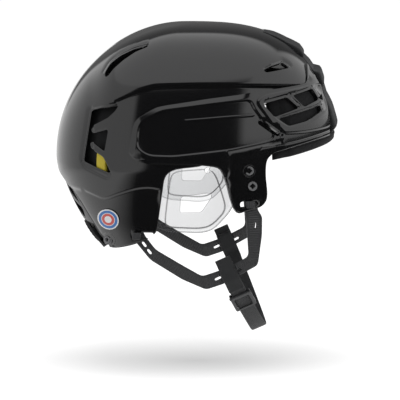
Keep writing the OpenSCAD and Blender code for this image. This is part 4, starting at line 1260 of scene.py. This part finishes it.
class HELMET_OT_crown_liner(bpy.types.Operator):
    """Moulded foam under the crown, with shallow channels on its inner face"""

    bl_idname = "helmet.crown_liner"
    bl_label = "Crown liner"

    def execute(self, context):
        skin = the_skin()
        low = skin.widest_z + skin.dome_h * math.sin(math.radians(CROWN_LINER_ANGLE))
        front, high = CROWN_LINER_FRONT * skin.unit_l, skin.height
        line = Line([(CROWN_LINER_BACK, low), (front, low), (front, high), (CROWN_LINER_BACK, high)], 0)
        channels = [Line([(x, low - 20), (x, high)], 0, closed=False) for x in CHANNEL_PLACES]

        def inner(p):
            off = np.full(p.shape[:-1], FOAM_UNDER - LINER)
            for channel in channels:
                off = off + CHANNEL_DEPTH * smooth(1.2 - channel.distance(p) / (CHANNEL_WIDTH / 2))
            edge = np.clip(1.0 - line.distance(p) / LINER_EDGE, 0.0, 1.0)
            return off + LINER_EDGE * (1.0 - np.sqrt(np.maximum(0.0, 1.0 - edge * edge)))

        sheet = Sheet(skin, [line], [], lambda p: np.full(p.shape[:-1], FOAM_UNDER), inner,
                      [(c, CHANNEL_WIDTH) for c in channels], the_spacing() * 1.3, lip=LINER_EDGE, edge_step=3.0)
        cushion(sheet.mesh("crown_liner_foam"), "rear", "crown_liner")
        return {"FINISHED"}


PAD_SPANS = {
    "rear_liner": ([104, 176, -0.3, 0.48], FOAM_UNDER - POD - 0.6, FOAM_UNDER - LINER - POD, "rear", 14.0),
    "temple_liner": ([50.2, 66.5, -0.26, 0.36], -7.6, -18.0, "front", 10.0),
    "impact_pod": ([116.5, 123.5, -0.2, 0.08], FOAM_UNDER, FOAM_UNDER - POD, "rear", 8.0),
}

PAD_GROOVES = ((0.33, 0.06, 1.6), (-0.33, 0.06, 1.6), (0.1, 0.08, 1.6))
PAD_DIP = (0.0, 0.2, 0.5)
OUTER_SHARE = 0.4
TEMPLE_STEP = 0.38


class HELMET_OT_side_pads(bpy.types.Operator):
    """Rear liners, temple liners and the yellow impact pods of both sides"""

    bl_idname = "helmet.side_pads"
    bl_label = "Side pads"

    def execute(self, context):
        skin = the_skin()
        for part, (span, out, inn, body, power) in PAD_SPANS.items():
            yellow = part == "impact_pod"

            def relief(a, b):
                if part != "rear_liner":
                    return groove(b, *PAD_DIP), 0.0
                cut = sum(groove(value, *place) for value, place in zip((a, a, b), PAD_GROOVES))
                return cut * OUTER_SHARE, cut

            def low(a):
                return span[2] + (TEMPLE_STEP if part == "temple_liner" else 0.0) * smooth((-0.2 - a) / 0.14)

            for side, sign in SIDES:
                name = part + "_" + side
                ob = pad(name + ("_cell" if yellow else "_foam"), skin, span, out, inn, mirror=sign < 0,
                         power=power, low=low, relief=relief)
                cushion(ob, body, name, *(("foam_yellow", "pod_yellow") if yellow else ()))
        return {"FINISHED"}


BROW_LIP = 3.6


class HELMET_OT_front_pads(bpy.types.Operator):
    """Brow liner, whose lower edge shows under the shell, and the sweatband on its inner face"""

    bl_idname = "helmet.front_pads"
    bl_label = "Brow pads"

    def execute(self, context):
        skin = the_skin()
        brow = pad("brow_liner_foam", skin, [-50, 50, 0.07, 0.375], -0.8, -10.6, cols=72, power=18.0,
                   low=lambda a: 0.077 - 0.047 * a * a, outer_drop=lambda a: 3.0 * smooth((np.abs(a) - 0.86) / 0.06),
                   relief=lambda a, b: (groove(b, -0.86, 0.04, 0.5) - BROW_LIP * smooth((-0.7 - b) / 0.05),
                                        groove(a, 0.0, 0.04, 1.5)))
        cushion(brow, "front", "brow_liner", "foam_black", "sweatband")
        band = pad("sweatband_foam", skin, [-47.5, 47.5, 0.07, 0.2], -11.2, -14.2, cols=72, power=8.0)
        cushion(band, "front", "brow_sweatband", "sweatband", "sweatband")
        return {"FINISHED"}


class HELMET_OT_nape_pad(bpy.types.Operator):
    """Cushion on the inner face of the occipital lattice"""

    bl_idname = "helmet.nape_pad"
    bl_label = "Nape pad"

    def execute(self, context):
        ob = pad("nape_pad_foam", the_skin(), [158, 202, -0.6, -0.33], -6.5, -14.9, power=6.0,
                 relief=lambda a, b: (0.0, groove(a, 0.0, 0.1, 1.5)))
        cushion(ob, "rear", "nape_pad")
        return {"FINISHED"}


# Forehead insert

INSERT_IN = 0.4
INSERT_ANGLE = 11.0
INSERT_WIDENING = 0.2
INSERT_PROFILE = [
    (0.085, 2.4), (0.138, 3.9), (0.15, 6.0), (0.164, 6.4), (0.203, 5.3), (0.254, 4.1), (0.318, 1.6), (0.366, 2.2),
    (0.392, 4.6), (0.41, 5.2), (0.434, 5.9), (0.446, 5.5), (0.472, 1.6), (0.512, 1.9), (0.554, 1.3), (0.566, 3.8),
    (0.598, 5.0), (0.669, 3.0), (0.738, 2.5), (0.78, 1.4)]
INSERT_LOW = 0.118
INSERT_HIGH = 0.776
INSERT_BOW = 0.018
INSERT_FALL = 1.2
INSERT_THIN = 0.6
INSERT_GROOVE = (0.52, 0.07, 0.7)
INSERT_EDGE_POWER = 26.0


class HELMET_OT_center_insert(bpy.types.Operator):
    """Matte insert down the middle of the forehead, in overlapping steps"""

    bl_idname = "helmet.center_insert"
    bl_label = "Forehead insert"

    def execute(self, context):
        skin = the_skin()
        a, b = np.meshgrid(crowded(41), np.linspace(-1, 1, 150))
        v = INSERT_LOW + (INSERT_HIGH - INSERT_LOW) * (b + 1) / 2
        rise = np.interp(v + INSERT_BOW * a * a, *np.array(INSERT_PROFILE).T)
        share = pillow(a, b, INSERT_EDGE_POWER)
        t = INSERT_ANGLE * (1 + INSERT_WIDENING * smooth(2 * v - 1)) * a
        fall = INSERT_FALL * np.abs(a) ** 4
        top = np.maximum(INSERT_THIN, rise - INSERT_IN - fall - groove(np.abs(a), *INSERT_GROOVE))
        faces = (skin.at(t, v, INSERT_IN + height * share) for height in (top, 0))
        ob = stitched("center_insert_skin", *faces)
        ob.data.set_sharp_from_angle(angle=math.radians(38))
        show(ob, "matte_trim", "front", "center_insert", "matte_black")
        return {"FINISHED"}


# Occipital adjuster

WINDOW_SHARES = [
    [(4.4, -13.8), (12.3, -15.4), (11, -19.8), (4.4, -19)], [(4.4, -21.6), (10.5, -22.4), (9, -27.6), (4.4, -27.4)],
    [(15.9, -16.6), (22.5, -19.6), (25.1, -24.6), (14.6, -21.2)],
    [(13.6, -24), (25.4, -27.6), (22.3, -32), (12, -28.6)]]

LATTICE_LEVELS = (-0.08, -0.66)
LATTICE_ANGLE = 130.0
LATTICE_THICK = 2.6
BARE_NODES = {"occipital_housing": "matte_trim", "housing_cover": "matte_trim", "dial": "satin_trim",
              "rack_left": "nylon", "rack_right": "nylon"}


class HELMET_OT_lattice(bpy.types.Operator):
    """Open lattice that closes the nape arch and carries the dial's housing"""

    bl_idname = "helmet.lattice"
    bl_label = "Occipital lattice"

    def execute(self, context):
        skin = the_skin()
        v = np.linspace(*LATTICE_LEVELS, 24)
        side = skin.at(np.full(24, LATTICE_ANGLE), v)
        points = np.concatenate([[[0, side[0, 2]]], side[:, 1:], [[0, side[-1, 2]]]])
        line = Line(points, 0, closed=False, plane="back")
        holes = [Line(skin.back_shares(w), 2.5, plane="back") for w in WINDOW_SHARES]

        faces = (lambda p, off=off: np.full(p.shape[:-1], off) for off in (UNDER, UNDER - LATTICE_THICK))
        sheet = Sheet(skin, [line], holes, *faces, [], the_spacing(), lip=0.9)
        show(sheet.mesh("occipital_lattice_skin"), "satin_trim", "rear", "occipital_lattice", "matte_black")
        for node, finish_name in BARE_NODES.items():
            dress(node, finish_name)
        return {"FINISHED"}


# Ear guards and fittings

GUARD_SHARES = [
    (-7.8, -4.6), (6, -3.2), (14.5, -4), (15.4, -20), (12.8, -26.7), (6.7, -34.5), (2.2, -35.9), (-10.4, -34.9),
    (-14.6, -33.1), (-13.4, -21.1), (-12.6, -8.1)]
GUARD_CUT_SHARES = [(-5.2, -18.9), (5, -17.5), (6.2, -18.9), (2.2, -26.2), (-5.6, -26.2)]
GUARD_OUT = -5.0
GUARD_THICK = 2.0
GUARD_STEP = 1.6
BEAD_RISE = 0.7
BEAD_INSET = 1.7
RIVET_SHARE = (4.461, -7.4)
RIVET_HOLE_R = 2.7
RIDGE_SHARES = [
    (-6.6, -7.6), (4.2, -6.8), (7.2, -8.6), (9.9, -18.5), (11.4, -25.4), (6.2, -32.2), (2.2, -33.6), (-9.2, -32.9),
    (-11.2, -31.6), (-10.2, -21.1), (-8.8, -9.4)]


class HELMET_OT_ear_guards(bpy.types.Operator):
    """Clear moulded ear guards with a raised contour inside their edge and a five-sided opening"""

    bl_idname = "helmet.ear_guards"
    bl_label = "Ear guards"

    def execute(self, context):
        skin = the_skin()
        line = Line(skin.shares(GUARD_SHARES), 7.0)
        cut = Line(skin.shares(GUARD_CUT_SHARES), 3.0)
        ridge = Line(skin.shares(RIDGE_SHARES), 8.0)
        hole = Line(circle_outline(skin.shares(RIVET_SHARE), RIVET_HOLE_R), 0)

        def outer(p):
            bead = BEAD_RISE * smooth(1 - np.abs(line.distance(p) - BEAD_INSET) / 1.3)
            return GUARD_OUT - GUARD_STEP + GUARD_STEP * step_in(p, ridge.points, 1.7, 0.5) + bead

        sheet = Sheet(skin, [line], [cut, hole], outer, lambda p: outer(p) - GUARD_THICK, [(ridge, 3.0)],
                      the_spacing(), lip=0.7)
        for side, _ in SIDES:
            name = "ear_guard_" + side
            show(sheet.mesh(name + "_sheet", half=side), "clear_guard", "front", name, "clear_sheet")
        return {"FINISHED"}


NOTCH_DEPTH = 1.3
NUT_PROFILE = [(2.1, -5.2), (3.2, -5.2), (3.2, -1.3), (4.1, -1.3), (4.3, -1.0), (4.3, 0.35), (4.0, 0.6), (3.1, 0.6),
               (2.75, 0.35), (2.3, 0.1), (2.1, -0.2)]
SCREW_PROFILE = [(1.5, -4.0), (5.0, -4.0), (5.0, 0.2), (4.7, 0.5), (4.1, 0.5), (4.0, 0.1), (3.7, 0.1), (3.6, 0.9),
                 (3.1, 1.3), (2.2, 1.4), (1.9, 1.1), (1.5, -0.6)]


def cross_notch(turn, r, h):
    """Four notches in the bore, a quarter turn apart, open over the nut's outer half."""
    wide = smooth(1.6 - np.abs(((turn + math.pi / 4) % (math.pi / 2)) - math.pi / 4) / 0.2)
    return r + NOTCH_DEPTH * wide * (r < 2.5) * (h > -1.7)


class HELMET_OT_fittings(bpy.types.Operator):
    """Visor nuts with their cross drive, ear guard rivets and corner screws"""

    bl_idname = "helmet.fittings"
    bl_label = "Nuts, rivets and screws"

    def execute(self, context):
        skin = the_skin()
        parts = [turned(NUT_PROFILE, (x, sign * y, z), (0.0, sign, 0.0), notch=cross_notch, segments=96)
                 for x, y, z in nut_places(skin) for _, sign in SIDES]
        show(joined("visor_nut_rings", parts, sharp=35), "nut_metal", "front", "visor_nuts", "screw_black")
        dress("ear_guard_rivets", "black_metal")
        x, z = skin.shares(SCREW_SHARE)
        y = skin.side_y(x, z, -SEAT_DEPTH)
        t, v = skin.locate([x], [z])
        n = (skin.at(t, v, 1.0) - skin.at(t, v, 0.0))[0]
        parts = [turned(SCREW_PROFILE, (x, s * y, z), n * (1, s, 1), segments=72) for s in (-1, 1)]
        show(joined("corner_screw_heads", parts, sharp=35), "nut_metal", "rear", "corner_screws", "screw_black")
        return {"FINISHED"}


# Ear loops, webbing and buckle

LOOP_Y = 78.4
LOOP_T = 2.0
LOOP_SHARES = [
    (-22.7, -38.6), (-16.4, -48.3), (-5.2, -57), (3.3, -61.6), (9.7, -58.9), (21.6, -50.6), (23, -37.2),
    (23, -28.5), (21.4, -25.9), (21.2, -21.6), (16.9, -22.4), (16.9, -26.7), (17.5, -33.1), (18.2, -46),
    (17.3, -47.4), (13.8, -49.7), (7.8, -53.1), (1.9, -55.6), (-5.2, -50.6), (-14.5, -43.7), (-18.2, -37.7),
    (-19.3, -34.5), (-22.7, -35.9)]
LOOP_SPINE_SHARES = [(-21, -36.6), (-15.5, -46), (-5.2, -53.8), (2.6, -58.6), (8.8, -56), (20, -49), (20.4, -37),
                     (20, -28), (19.1, -22)]
LOOP_SLOT_SHARES = [[(-19, -40.6), (-18.1, -42.1)], [(-17.2, -43.9), (-16.3, -45.3)], [(6.7, -57), (8.2, -56.1)],
                    [(14.2, -53.3), (15.5, -52.4)], [(20.4, -31.7), (20.4, -33.6)]]
LOOP_SLOT_R = 1.1
LEAN_FROM = -82.0
LEAN_TO = -56.0
LEAN_OUT = 4.6
PEG_W = 8.0
PEG_T = 1.6
PEG_HEAD = 6.6
PEG_CLEAR = 0.8
REAR_PEG_SHARE = -21.2
SLIDE_TRAVEL = 12.0


def capsule(ends, radius):
    """Outline of a slot with round ends."""
    a, b = np.asarray(ends, float)
    d = (b - a) / max(np.linalg.norm(b - a), 1e-9)
    turn = np.linspace(-math.pi / 2, math.pi / 2, 9)
    side = np.array([-d[1], d[0]])
    half = radius * (np.cos(turn)[:, None] * d + np.sin(turn)[:, None] * side)
    return np.concatenate([b + half, a - half])


def peg(skin, x, z, reach, sign):
    """The neck and the cross head that hold a loop in its slot, as two rounded blocks."""
    def block(w, h, y0, y1):
        outline = rounded(box_outline((x, z), w, h), 0.7)
        middle = (y0 + y1) / 2
        return plate(outline, [], y1 - y0, 0.45,
                     lambda a, b, c: np.stack([a, sign * (middle + c), b], axis=-1), step=1.0)
    return [block(PEG_W, PEG_T, LOOP_Y, reach + 0.4), block(PEG_W, PEG_HEAD, reach, reach + PEG_T)]


class HELMET_OT_ear_loops(bpy.types.Operator):
    """Moulded ear loops with ridged arms, their slots and the pegs that hold them"""

    bl_idname = "helmet.ear_loops"
    bl_label = "Ear loops"

    def execute(self, context):
        skin = the_skin()
        outline = rounded(skin.shares(LOOP_SHARES), 3.5)
        spine = skin.shares(LOOP_SPINE_SHARES)
        slots = [capsule(skin.shares(s), LOOP_SLOT_R) for s in LOOP_SLOT_SHARES]
        front_x, front_z = skin.shares(FRONT_SLOT_SHARE)
        rear_x, rear_z = skin.shares((REAR_PEG_SHARE, REAR_SLOT_SHARE[1]))
        front_reach = skin.side_y(front_x - PEG_W / 2, front_z + PEG_HEAD / 2, LEG_RISE) + PEG_CLEAR
        rear_reach = skin.side_y(rear_x + SLIDE_TRAVEL, rear_z + PEG_HEAD / 2) + PEG_CLEAR
        for side, sign in SIDES:
            def place(x, z, h):
                lean = LEAN_OUT * smooth((z - LEAN_FROM) / (LEAN_TO - LEAN_FROM)) * smooth((x - 30) / 10)
                return np.stack([x, sign * (LOOP_Y + lean + h), z], axis=-1)

            parts = [plate(outline, slots, LOOP_T, 0.8, place, spine=spine)]
            parts += peg(skin, front_x, front_z, front_reach, sign) + peg(skin, rear_x, rear_z, rear_reach, sign)
            name = "ear_loop_" + side
            show(joined(name + "_moulding", parts), "loop_plastic", "strap_" + side, name, "strap_black")
        return {"FINISHED"}


WEB_X_SHARE = 10.4
WEB_Z_SHARE = -51.5
WEB_LEAN = 24.0
WEB_DROP = 83.0
WEB_BEND = 22.0
FOLD_HEIGHT = 17.0
FOLD_TOP = 0.6
FOLD_IN = 1.3
FOLD_OPEN = 4.0
TAIL_HEIGHT = 9.0


def web_place(skin):
    """Turns places across the helmet, up the webbing's plane and over its width into space."""
    c, s = math.cos(math.radians(WEB_LEAN)), math.sin(math.radians(WEB_LEAN))
    x0, z0 = WEB_X_SHARE * skin.unit_l, WEB_Z_SHARE * skin.unit_h
    return lambda y, up, w: np.stack([x0 + w * c - up * s, y + 0.0 * w, z0 + w * s + up * c], axis=-1)


def web_drop_at(y):
    """Depth of the hanging webbing: a curve of sqrt(y^2 + r^2) between the loops."""
    run = math.hypot(LOOP_Y, WEB_BEND) - WEB_BEND
    return WEB_DROP - (np.sqrt(y * y + WEB_BEND ** 2) - WEB_BEND) * (WEB_DROP - FOLD_HEIGHT) / run


class HELMET_OT_webbing(bpy.types.Operator):
    """Woven chin webbing, folded over both loops' bars with its tails standing up"""

    bl_idname = "helmet.webbing"
    bl_label = "Chin webbing"

    def execute(self, context):
        skin = the_skin()
        sizes = context.scene.helmet_sizes
        width, thick = sizes.web_width / MM, sizes.web_thickness / MM
        place = web_place(skin)
        y = np.linspace(-LOOP_Y + 1.5, LOOP_Y - 1.5, 80)
        hang = np.stack([y, -web_drop_at(y)], axis=1)
        inn = FOLD_IN + thick / 2
        turn = np.radians(np.linspace(180, 20, 9))
        over = np.stack([inn * np.cos(turn), FOLD_TOP + inn * np.sin(turn)], axis=1)
        fold = np.concatenate([[(-1.5, -FOLD_HEIGHT), (-FOLD_OPEN * 0.75, -FOLD_HEIGHT + 4), (-inn - 0.3, -6)], over])
        ends = [(fold + (LOOP_Y, 0)) * np.array([sign, 1.0]) for sign in (-1, 1)]
        path = np.concatenate([ends[0][::-1], hang[3:-3], ends[1]])
        parts = [strap(rounded(path, 2.0, 4, closed=False), width, thick, place)]
        for sign in (-1, 1):
            tail = [(-1.0, -FOLD_HEIGHT - 7.5), (1.2, -FOLD_HEIGHT), (FOLD_OPEN * 0.75, -FOLD_HEIGHT + 4), (inn, -4),
                    (inn, FOLD_TOP + 2), (inn + 0.4, FOLD_TOP + TAIL_HEIGHT)]
            tail = (np.array(tail) + (LOOP_Y + 0.2, 0)) * np.array([sign, 1.0])
            parts.append(strap(rounded(tail, 3.0, 6, closed=False), width - 0.3, thick, place))
        show(joined("chin_webbing_weave", parts, sharp=50), "webbing", "chin", "chin_webbing", "webbing_black")
        return {"FINISHED"}


BUCKLE_Y = -57.0
BUCKLE_LENGTH = 25.0
BUCKLE_THICK = 5.0
BUCKLE_BAR = 2.6
BUCKLE_LIP = 3.4
BUCKLE_LIP_INSET = 1.4
BUCKLE_LIP_RISE = 0.9
BUCKLE_RIB_RISE = 1.35
BUCKLE_RIB_SHARE = 3.6
WEB_CLEAR = (0.3, 0.5)


class HELMET_OT_buckle(bpy.types.Operator):
    """Ladder-lock buckle: side rails, cross bars over the webbing, and a rough bar at its upper end"""

    bl_idname = "helmet.buckle"
    bl_label = "Buckle"

    def execute(self, context):
        skin = the_skin()
        sizes = context.scene.helmet_sizes
        half = sizes.web_width / MM / 2 + BUCKLE_BAR + WEB_CLEAR[0]
        clear = sizes.web_thickness / MM / 2 + WEB_CLEAR[1]
        place = web_place(skin)
        slope = (web_drop_at(BUCKLE_Y + 0.3) - web_drop_at(BUCKLE_Y - 0.3)) / 0.6
        along = np.array([1.0, -slope]) / math.hypot(1, slope)
        out = np.array([-along[1], along[0]])
        if out[0] > 0:
            out = -out
        origin = np.array([BUCKLE_Y, -web_drop_at(BUCKLE_Y)])

        def moulding(outline, holes, low, high, edge=0.6):
            def at(a, w, h):
                flat = origin + a[:, None] * along + ((low + high) / 2 + h)[:, None] * out
                return place(flat[:, 0], flat[:, 1], w)
            return plate(outline, holes, high - low, edge, at, step=1.0, fill=3.0)

        def block(x, w, length, width, corner):
            return rounded(box_outline((x, w), length, width), corner)

        top, wide, inside = BUCKLE_THICK / 2, 2 * half, 2 * (half - BUCKLE_BAR)
        lip_x = BUCKLE_LIP_INSET - BUCKLE_LENGTH / 2
        window = block(1.2, 0, BUCKLE_LENGTH - 7.5, inside - 1.0, 1.6)
        parts = [moulding(block(0, 0, BUCKLE_LENGTH, wide, 2.2), [window], clear, top + 0.3)]
        window = block(0, 0, 8.0, inside - 2.0, 1.2)
        parts.append(moulding(block(0, 0, BUCKLE_LENGTH - 1.5, wide - 0.6, 2.0), [window], -top, -clear))
        for s in (-1, 1):
            rail = block(0, s * (half - BUCKLE_BAR / 2), BUCKLE_LENGTH - 0.8, BUCKLE_BAR - 0.3, 0.9)
            parts.append(moulding(rail, [], -top + 0.2, top + 0.1, edge=0.5))
        lip = block(lip_x, 0, BUCKLE_LIP, wide + 1.0, 1.2)
        parts.append(moulding(lip, [], clear, top + BUCKLE_LIP_RISE, edge=0.7))
        for k in range(-3, 4):
            rib = block(lip_x, k * half / BUCKLE_RIB_SHARE, BUCKLE_LIP, 0.9, 0.3)
            parts.append(moulding(rib, [], top, top + BUCKLE_RIB_RISE, edge=0.3))
        show(joined("buckle_frame", parts), "buckle_plastic", "buckle", "buckle", "matte_black")
        return {"FINISHED"}


# Decal

DECAL_SHARE = (-31.2, -29.9)
DECAL_R = 10.4
DECAL_FACES = (0.16, 0.02)


class HELMET_OT_decal(bpy.types.Operator):
    """Plain round seal on the rear corner that the photograph shows, of coloured rings without any marks"""

    bl_idname = "helmet.decal"
    bl_label = "Round seal"

    def execute(self, context):
        skin = the_skin()
        line = Line(circle_outline(skin.shares(DECAL_SHARE), DECAL_R, 48), 0)
        faces = (lambda p, off=off: off + 0.0 * p[..., 0] for off in DECAL_FACES)
        sheet = Sheet(skin, [line], [], *faces, [], the_spacing(), lip=0.12, edge_step=1.2)
        show(sheet.mesh("corner_seals", half="right"), "seal", "rear", None, "gloss_black")
        return {"FINISHED"}


# Stage

CAMERA_PLACE = (0.003, -2.167, 0.321)
CAMERA_TARGET = (0.003, 0.0, -0.061)
CAMERA_LENS = 201.7
FLOOR_LEVEL = -0.2155
FLOOR_REACH = 12.0
SOFT_LIGHT = 0.5
DIM_LIGHT = 0.03
RIGHT_PANEL = (0.47, 0.54)
LEFT_PANEL = (0.3, 0.38)
TOP_PANEL = (0.65, 0.73)
BACK_PANEL = (0.15, 0.4)
BACK_LIGHT = 0.13
LEFT_LIGHT = 0.75
FLOOR_SHADE = 0.45
LIT_SHADE = 0.7
# Painted shadow on the floor: its own glow is low under the object and rises outward over an oval reach, shorter
# front to back and set a little forward. Far off, the higher glow also evens out the floor where the lamps fall off.
PAINTED_SHADOW_GLOW = 0.3
FAR_GLOW = 0.78
PAINTED_SHADOW_REACH = (-0.04, 0.22)
PAINTED_SHADOW_DEPTH = 2.3
GLOW_FORWARD = 0.03
FRONT_FADE = (0.12, 0.26)
SIDE_FADE = (0.16, 0.3)
FLOOR_FADE = (0.6, 1.3)
LAMPS = [
    ("top_softbox", (0.0, -0.08, 1.5), (1.0, 0.6), 13.0),
    ("left_softbox", (-1.5, -0.9, 0.5), (0.5, 1.2), 7.0),
    ("right_softbox", (1.5, -0.7, 0.6), (0.4, 1.2), 7.0),
]


def staged(name, data, place, target):
    """A lamp or the camera at a place, looking at a target."""
    ob = bpy.data.objects.new(name, data)
    ob.location = place
    ob.rotation_euler = (Vector(target) - Vector(place)).to_track_quat("-Z", "Y").to_euler()
    bpy.context.scene.collection.objects.link(ob)
    return ob


def seen_rays(wires):
    """1 on rays off gloss, and 1 on rays from the camera, off gloss or through glass, which see the
    backdrop's own colour."""
    rays = wires.add("LightPath").outputs
    glossy = rays["Is Glossy Ray"]
    return glossy, wires.most(rays["Is Camera Ray"], rays["Is Transmission Ray"], glossy)


def studio_world(name, colour):
    """White to the camera and through glass. Gloss sees the studio: white above and to both sides, and dim
    round the camera. The rest of the light is even and soft."""
    world = bpy.data.worlds.new(name)
    world.use_nodes = True
    wires = Wires(world.node_tree)
    maths, ramp = wires.maths, wires.ramp
    soft = wires.tree.nodes["Background"]
    soft.inputs["Color"].default_value = (*colour, 1.0)
    soft.inputs["Strength"].default_value = SOFT_LIGHT
    x, y, z = wires.split(wires.add("TexCoord").outputs["Generated"])
    left = maths("MULTIPLY", ramp(maths("MULTIPLY", x, -1.0), *LEFT_PANEL), LEFT_LIGHT)
    back = maths("MULTIPLY", ramp(y, *BACK_PANEL), BACK_LIGHT)
    panels = wires.most(ramp(x, *RIGHT_PANEL), left, ramp(z, *TOP_PANEL), back)
    glossy, seen = seen_rays(wires)
    bright = wires.most(panels, maths("SUBTRACT", 1.0, glossy), DIM_LIGHT)
    shown = wires.add("Background", Color=(1.0, 1.0, 1.0, 1.0), Strength=bright)
    wires.surface(wires.add("MixShader", seen, soft.outputs[0], shown.outputs[0]), "World Output")
    return world


def floor_material(name, colour):
    """White floor that keeps the object's shadow and adds a painted one: a share of its light is its own glow, which
    dips under the object as a painted shadow, and the rest is what falls on it. Gloss sees it white under the object
    and dim further off: a glow of its own, which paints reflections into the gloss."""
    wires = Shader(name)
    wires.tree.nodes.remove(wires.principled)
    add, maths, ramp = wires.add, wires.maths, wires.ramp
    x, y, _ = wires.split(wires.place["Object"])

    def reach(depth):
        """Distance from under the object, with the depth scaled."""
        ahead = maths("MULTIPLY", maths("ADD", y, GLOW_FORWARD), depth)
        return maths("SQRT", maths("ADD", maths("POWER", x, 2.0), maths("POWER", ahead, 2.0)))

    def other_way(value, fade):
        """A ramp on the negative of a value."""
        return ramp(maths("MULTIPLY", value, -1.0), *fade)

    # The floor's own glow dips under the object: a painted shadow.
    rise = maths("MULTIPLY", ramp(reach(PAINTED_SHADOW_DEPTH), *PAINTED_SHADOW_REACH), FAR_GLOW - PAINTED_SHADOW_GLOW)
    glow = add("Emission", Color=(*colour, 1.0), Strength=maths("ADD", rise, PAINTED_SHADOW_GLOW))
    plain = add("BsdfDiffuse", Color=(*times(colour, FLOOR_SHADE), 1.0))
    both = add("AddShader", plain.outputs[0], glow.outputs[0])
    near = maths("SUBTRACT", 1.0, ramp(reach(1.0), *FLOOR_FADE))
    aside = other_way(x, SIDE_FADE)
    near = maths("MULTIPLY", near, wires.most(maths("SUBTRACT", 1.0, other_way(y, FRONT_FADE)), aside))
    near = wires.most(near, maths("MULTIPLY", aside, LEFT_LIGHT), DIM_LIGHT)
    # Seen in gloss, the floor is only this glow: bright under the object and to the left, dim towards the camera and
    # far off. It is a painted reflection in the helmet's gloss.
    far = add("Emission", Color=(*colour, 1.0), Strength=near)
    glossy, seen = seen_rays(wires)
    gloss = add("MixShader", glossy, both.outputs[0], far.outputs[0])
    lit = add("BsdfDiffuse", Color=(*times(colour, LIT_SHADE), 1.0))
    wires.surface(add("MixShader", seen, lit.outputs[0], gloss.outputs[0]))
    return wires.material


class HELMET_OT_stage(bpy.types.Operator):
    """Floor, backdrop, soft lamps and the camera at the photograph's angle"""

    bl_idname = "helmet.stage"
    bl_label = "Stage"

    def execute(self, context):
        scene = context.scene
        hue = scene.helmet_colours
        scene.world = studio_world("studio", hue.floor)
        reach = FLOOR_REACH / MM
        corners = [[-reach, -reach, 0], [reach, -reach, 0], [reach, reach, 0], [-reach, reach, 0]]
        floor = finish_mesh("studio_floor", corners, [[0, 1, 2, 3]], smooth_faces=False)
        floor.location.z = FLOOR_LEVEL
        floor.data.materials.append(floor_material("floor_white", hue.floor))
        for name, place, size, power in LAMPS:
            data = bpy.data.lights.new(name, "AREA")
            data.shape = "RECTANGLE"
            data.size, data.size_y = size
            data.energy = power
            staged(name, data, place, (0.0, 0.0, 0.0)).visible_glossy = False
        data = bpy.data.cameras.new("photo_camera")
        data.lens, data.sensor_width, data.clip_end = CAMERA_LENS, 36.0, 50.0
        scene.camera = staged("photo_camera", data, CAMERA_PLACE, CAMERA_TARGET)
        scene.view_settings.view_transform = "Standard"
        return {"FINISHED"}


class HELMET_PT_panel(bpy.types.Panel):
    """Lists the helmet's pieces in the sidebar"""

    bl_idname = "HELMET_PT_panel"
    bl_label = "Ice hockey helmet"
    bl_space_type = "VIEW_3D"
    bl_region_type = "UI"
    bl_category = "Helmet"

    def draw(self, context):
        for operator in PIECES:
            self.layout.operator(operator.bl_idname)
        for group in (context.scene.helmet_sizes, context.scene.helmet_colours):
            box = self.layout.box()
            for key in group.bl_rna.properties.keys():
                if key not in ("rna_type", "name"):
                    box.prop(group, key)


PIECES = (
    HELMET_OT_rear_shell,
    HELMET_OT_front_shell,
    HELMET_OT_crown_liner,
    HELMET_OT_side_pads,
    HELMET_OT_front_pads,
    HELMET_OT_nape_pad,
    HELMET_OT_center_insert,
    HELMET_OT_lattice,
    HELMET_OT_ear_guards,
    HELMET_OT_fittings,
    HELMET_OT_ear_loops,
    HELMET_OT_webbing,
    HELMET_OT_buckle,
    HELMET_OT_decal,
    HELMET_OT_stage,
)
CLASSES = (HelmetSizes, HelmetColours, *PIECES, HELMET_PT_panel)


def register():
    for item in CLASSES:
        bpy.utils.register_class(item)
    bpy.types.Scene.helmet_sizes = bpy.props.PointerProperty(type=HelmetSizes)
    bpy.types.Scene.helmet_colours = bpy.props.PointerProperty(type=HelmetColours)


def unregister():
    del bpy.types.Scene.helmet_colours
    del bpy.types.Scene.helmet_sizes
    for item in reversed(CLASSES):
        bpy.utils.unregister_class(item)


def main():
    """Registers the add-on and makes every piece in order."""
    register()
    for operator in PIECES:
        group, name = operator.bl_idname.split(".")
        getattr(getattr(bpy.ops, group), name)()


if __name__ == "__main__":
    main()
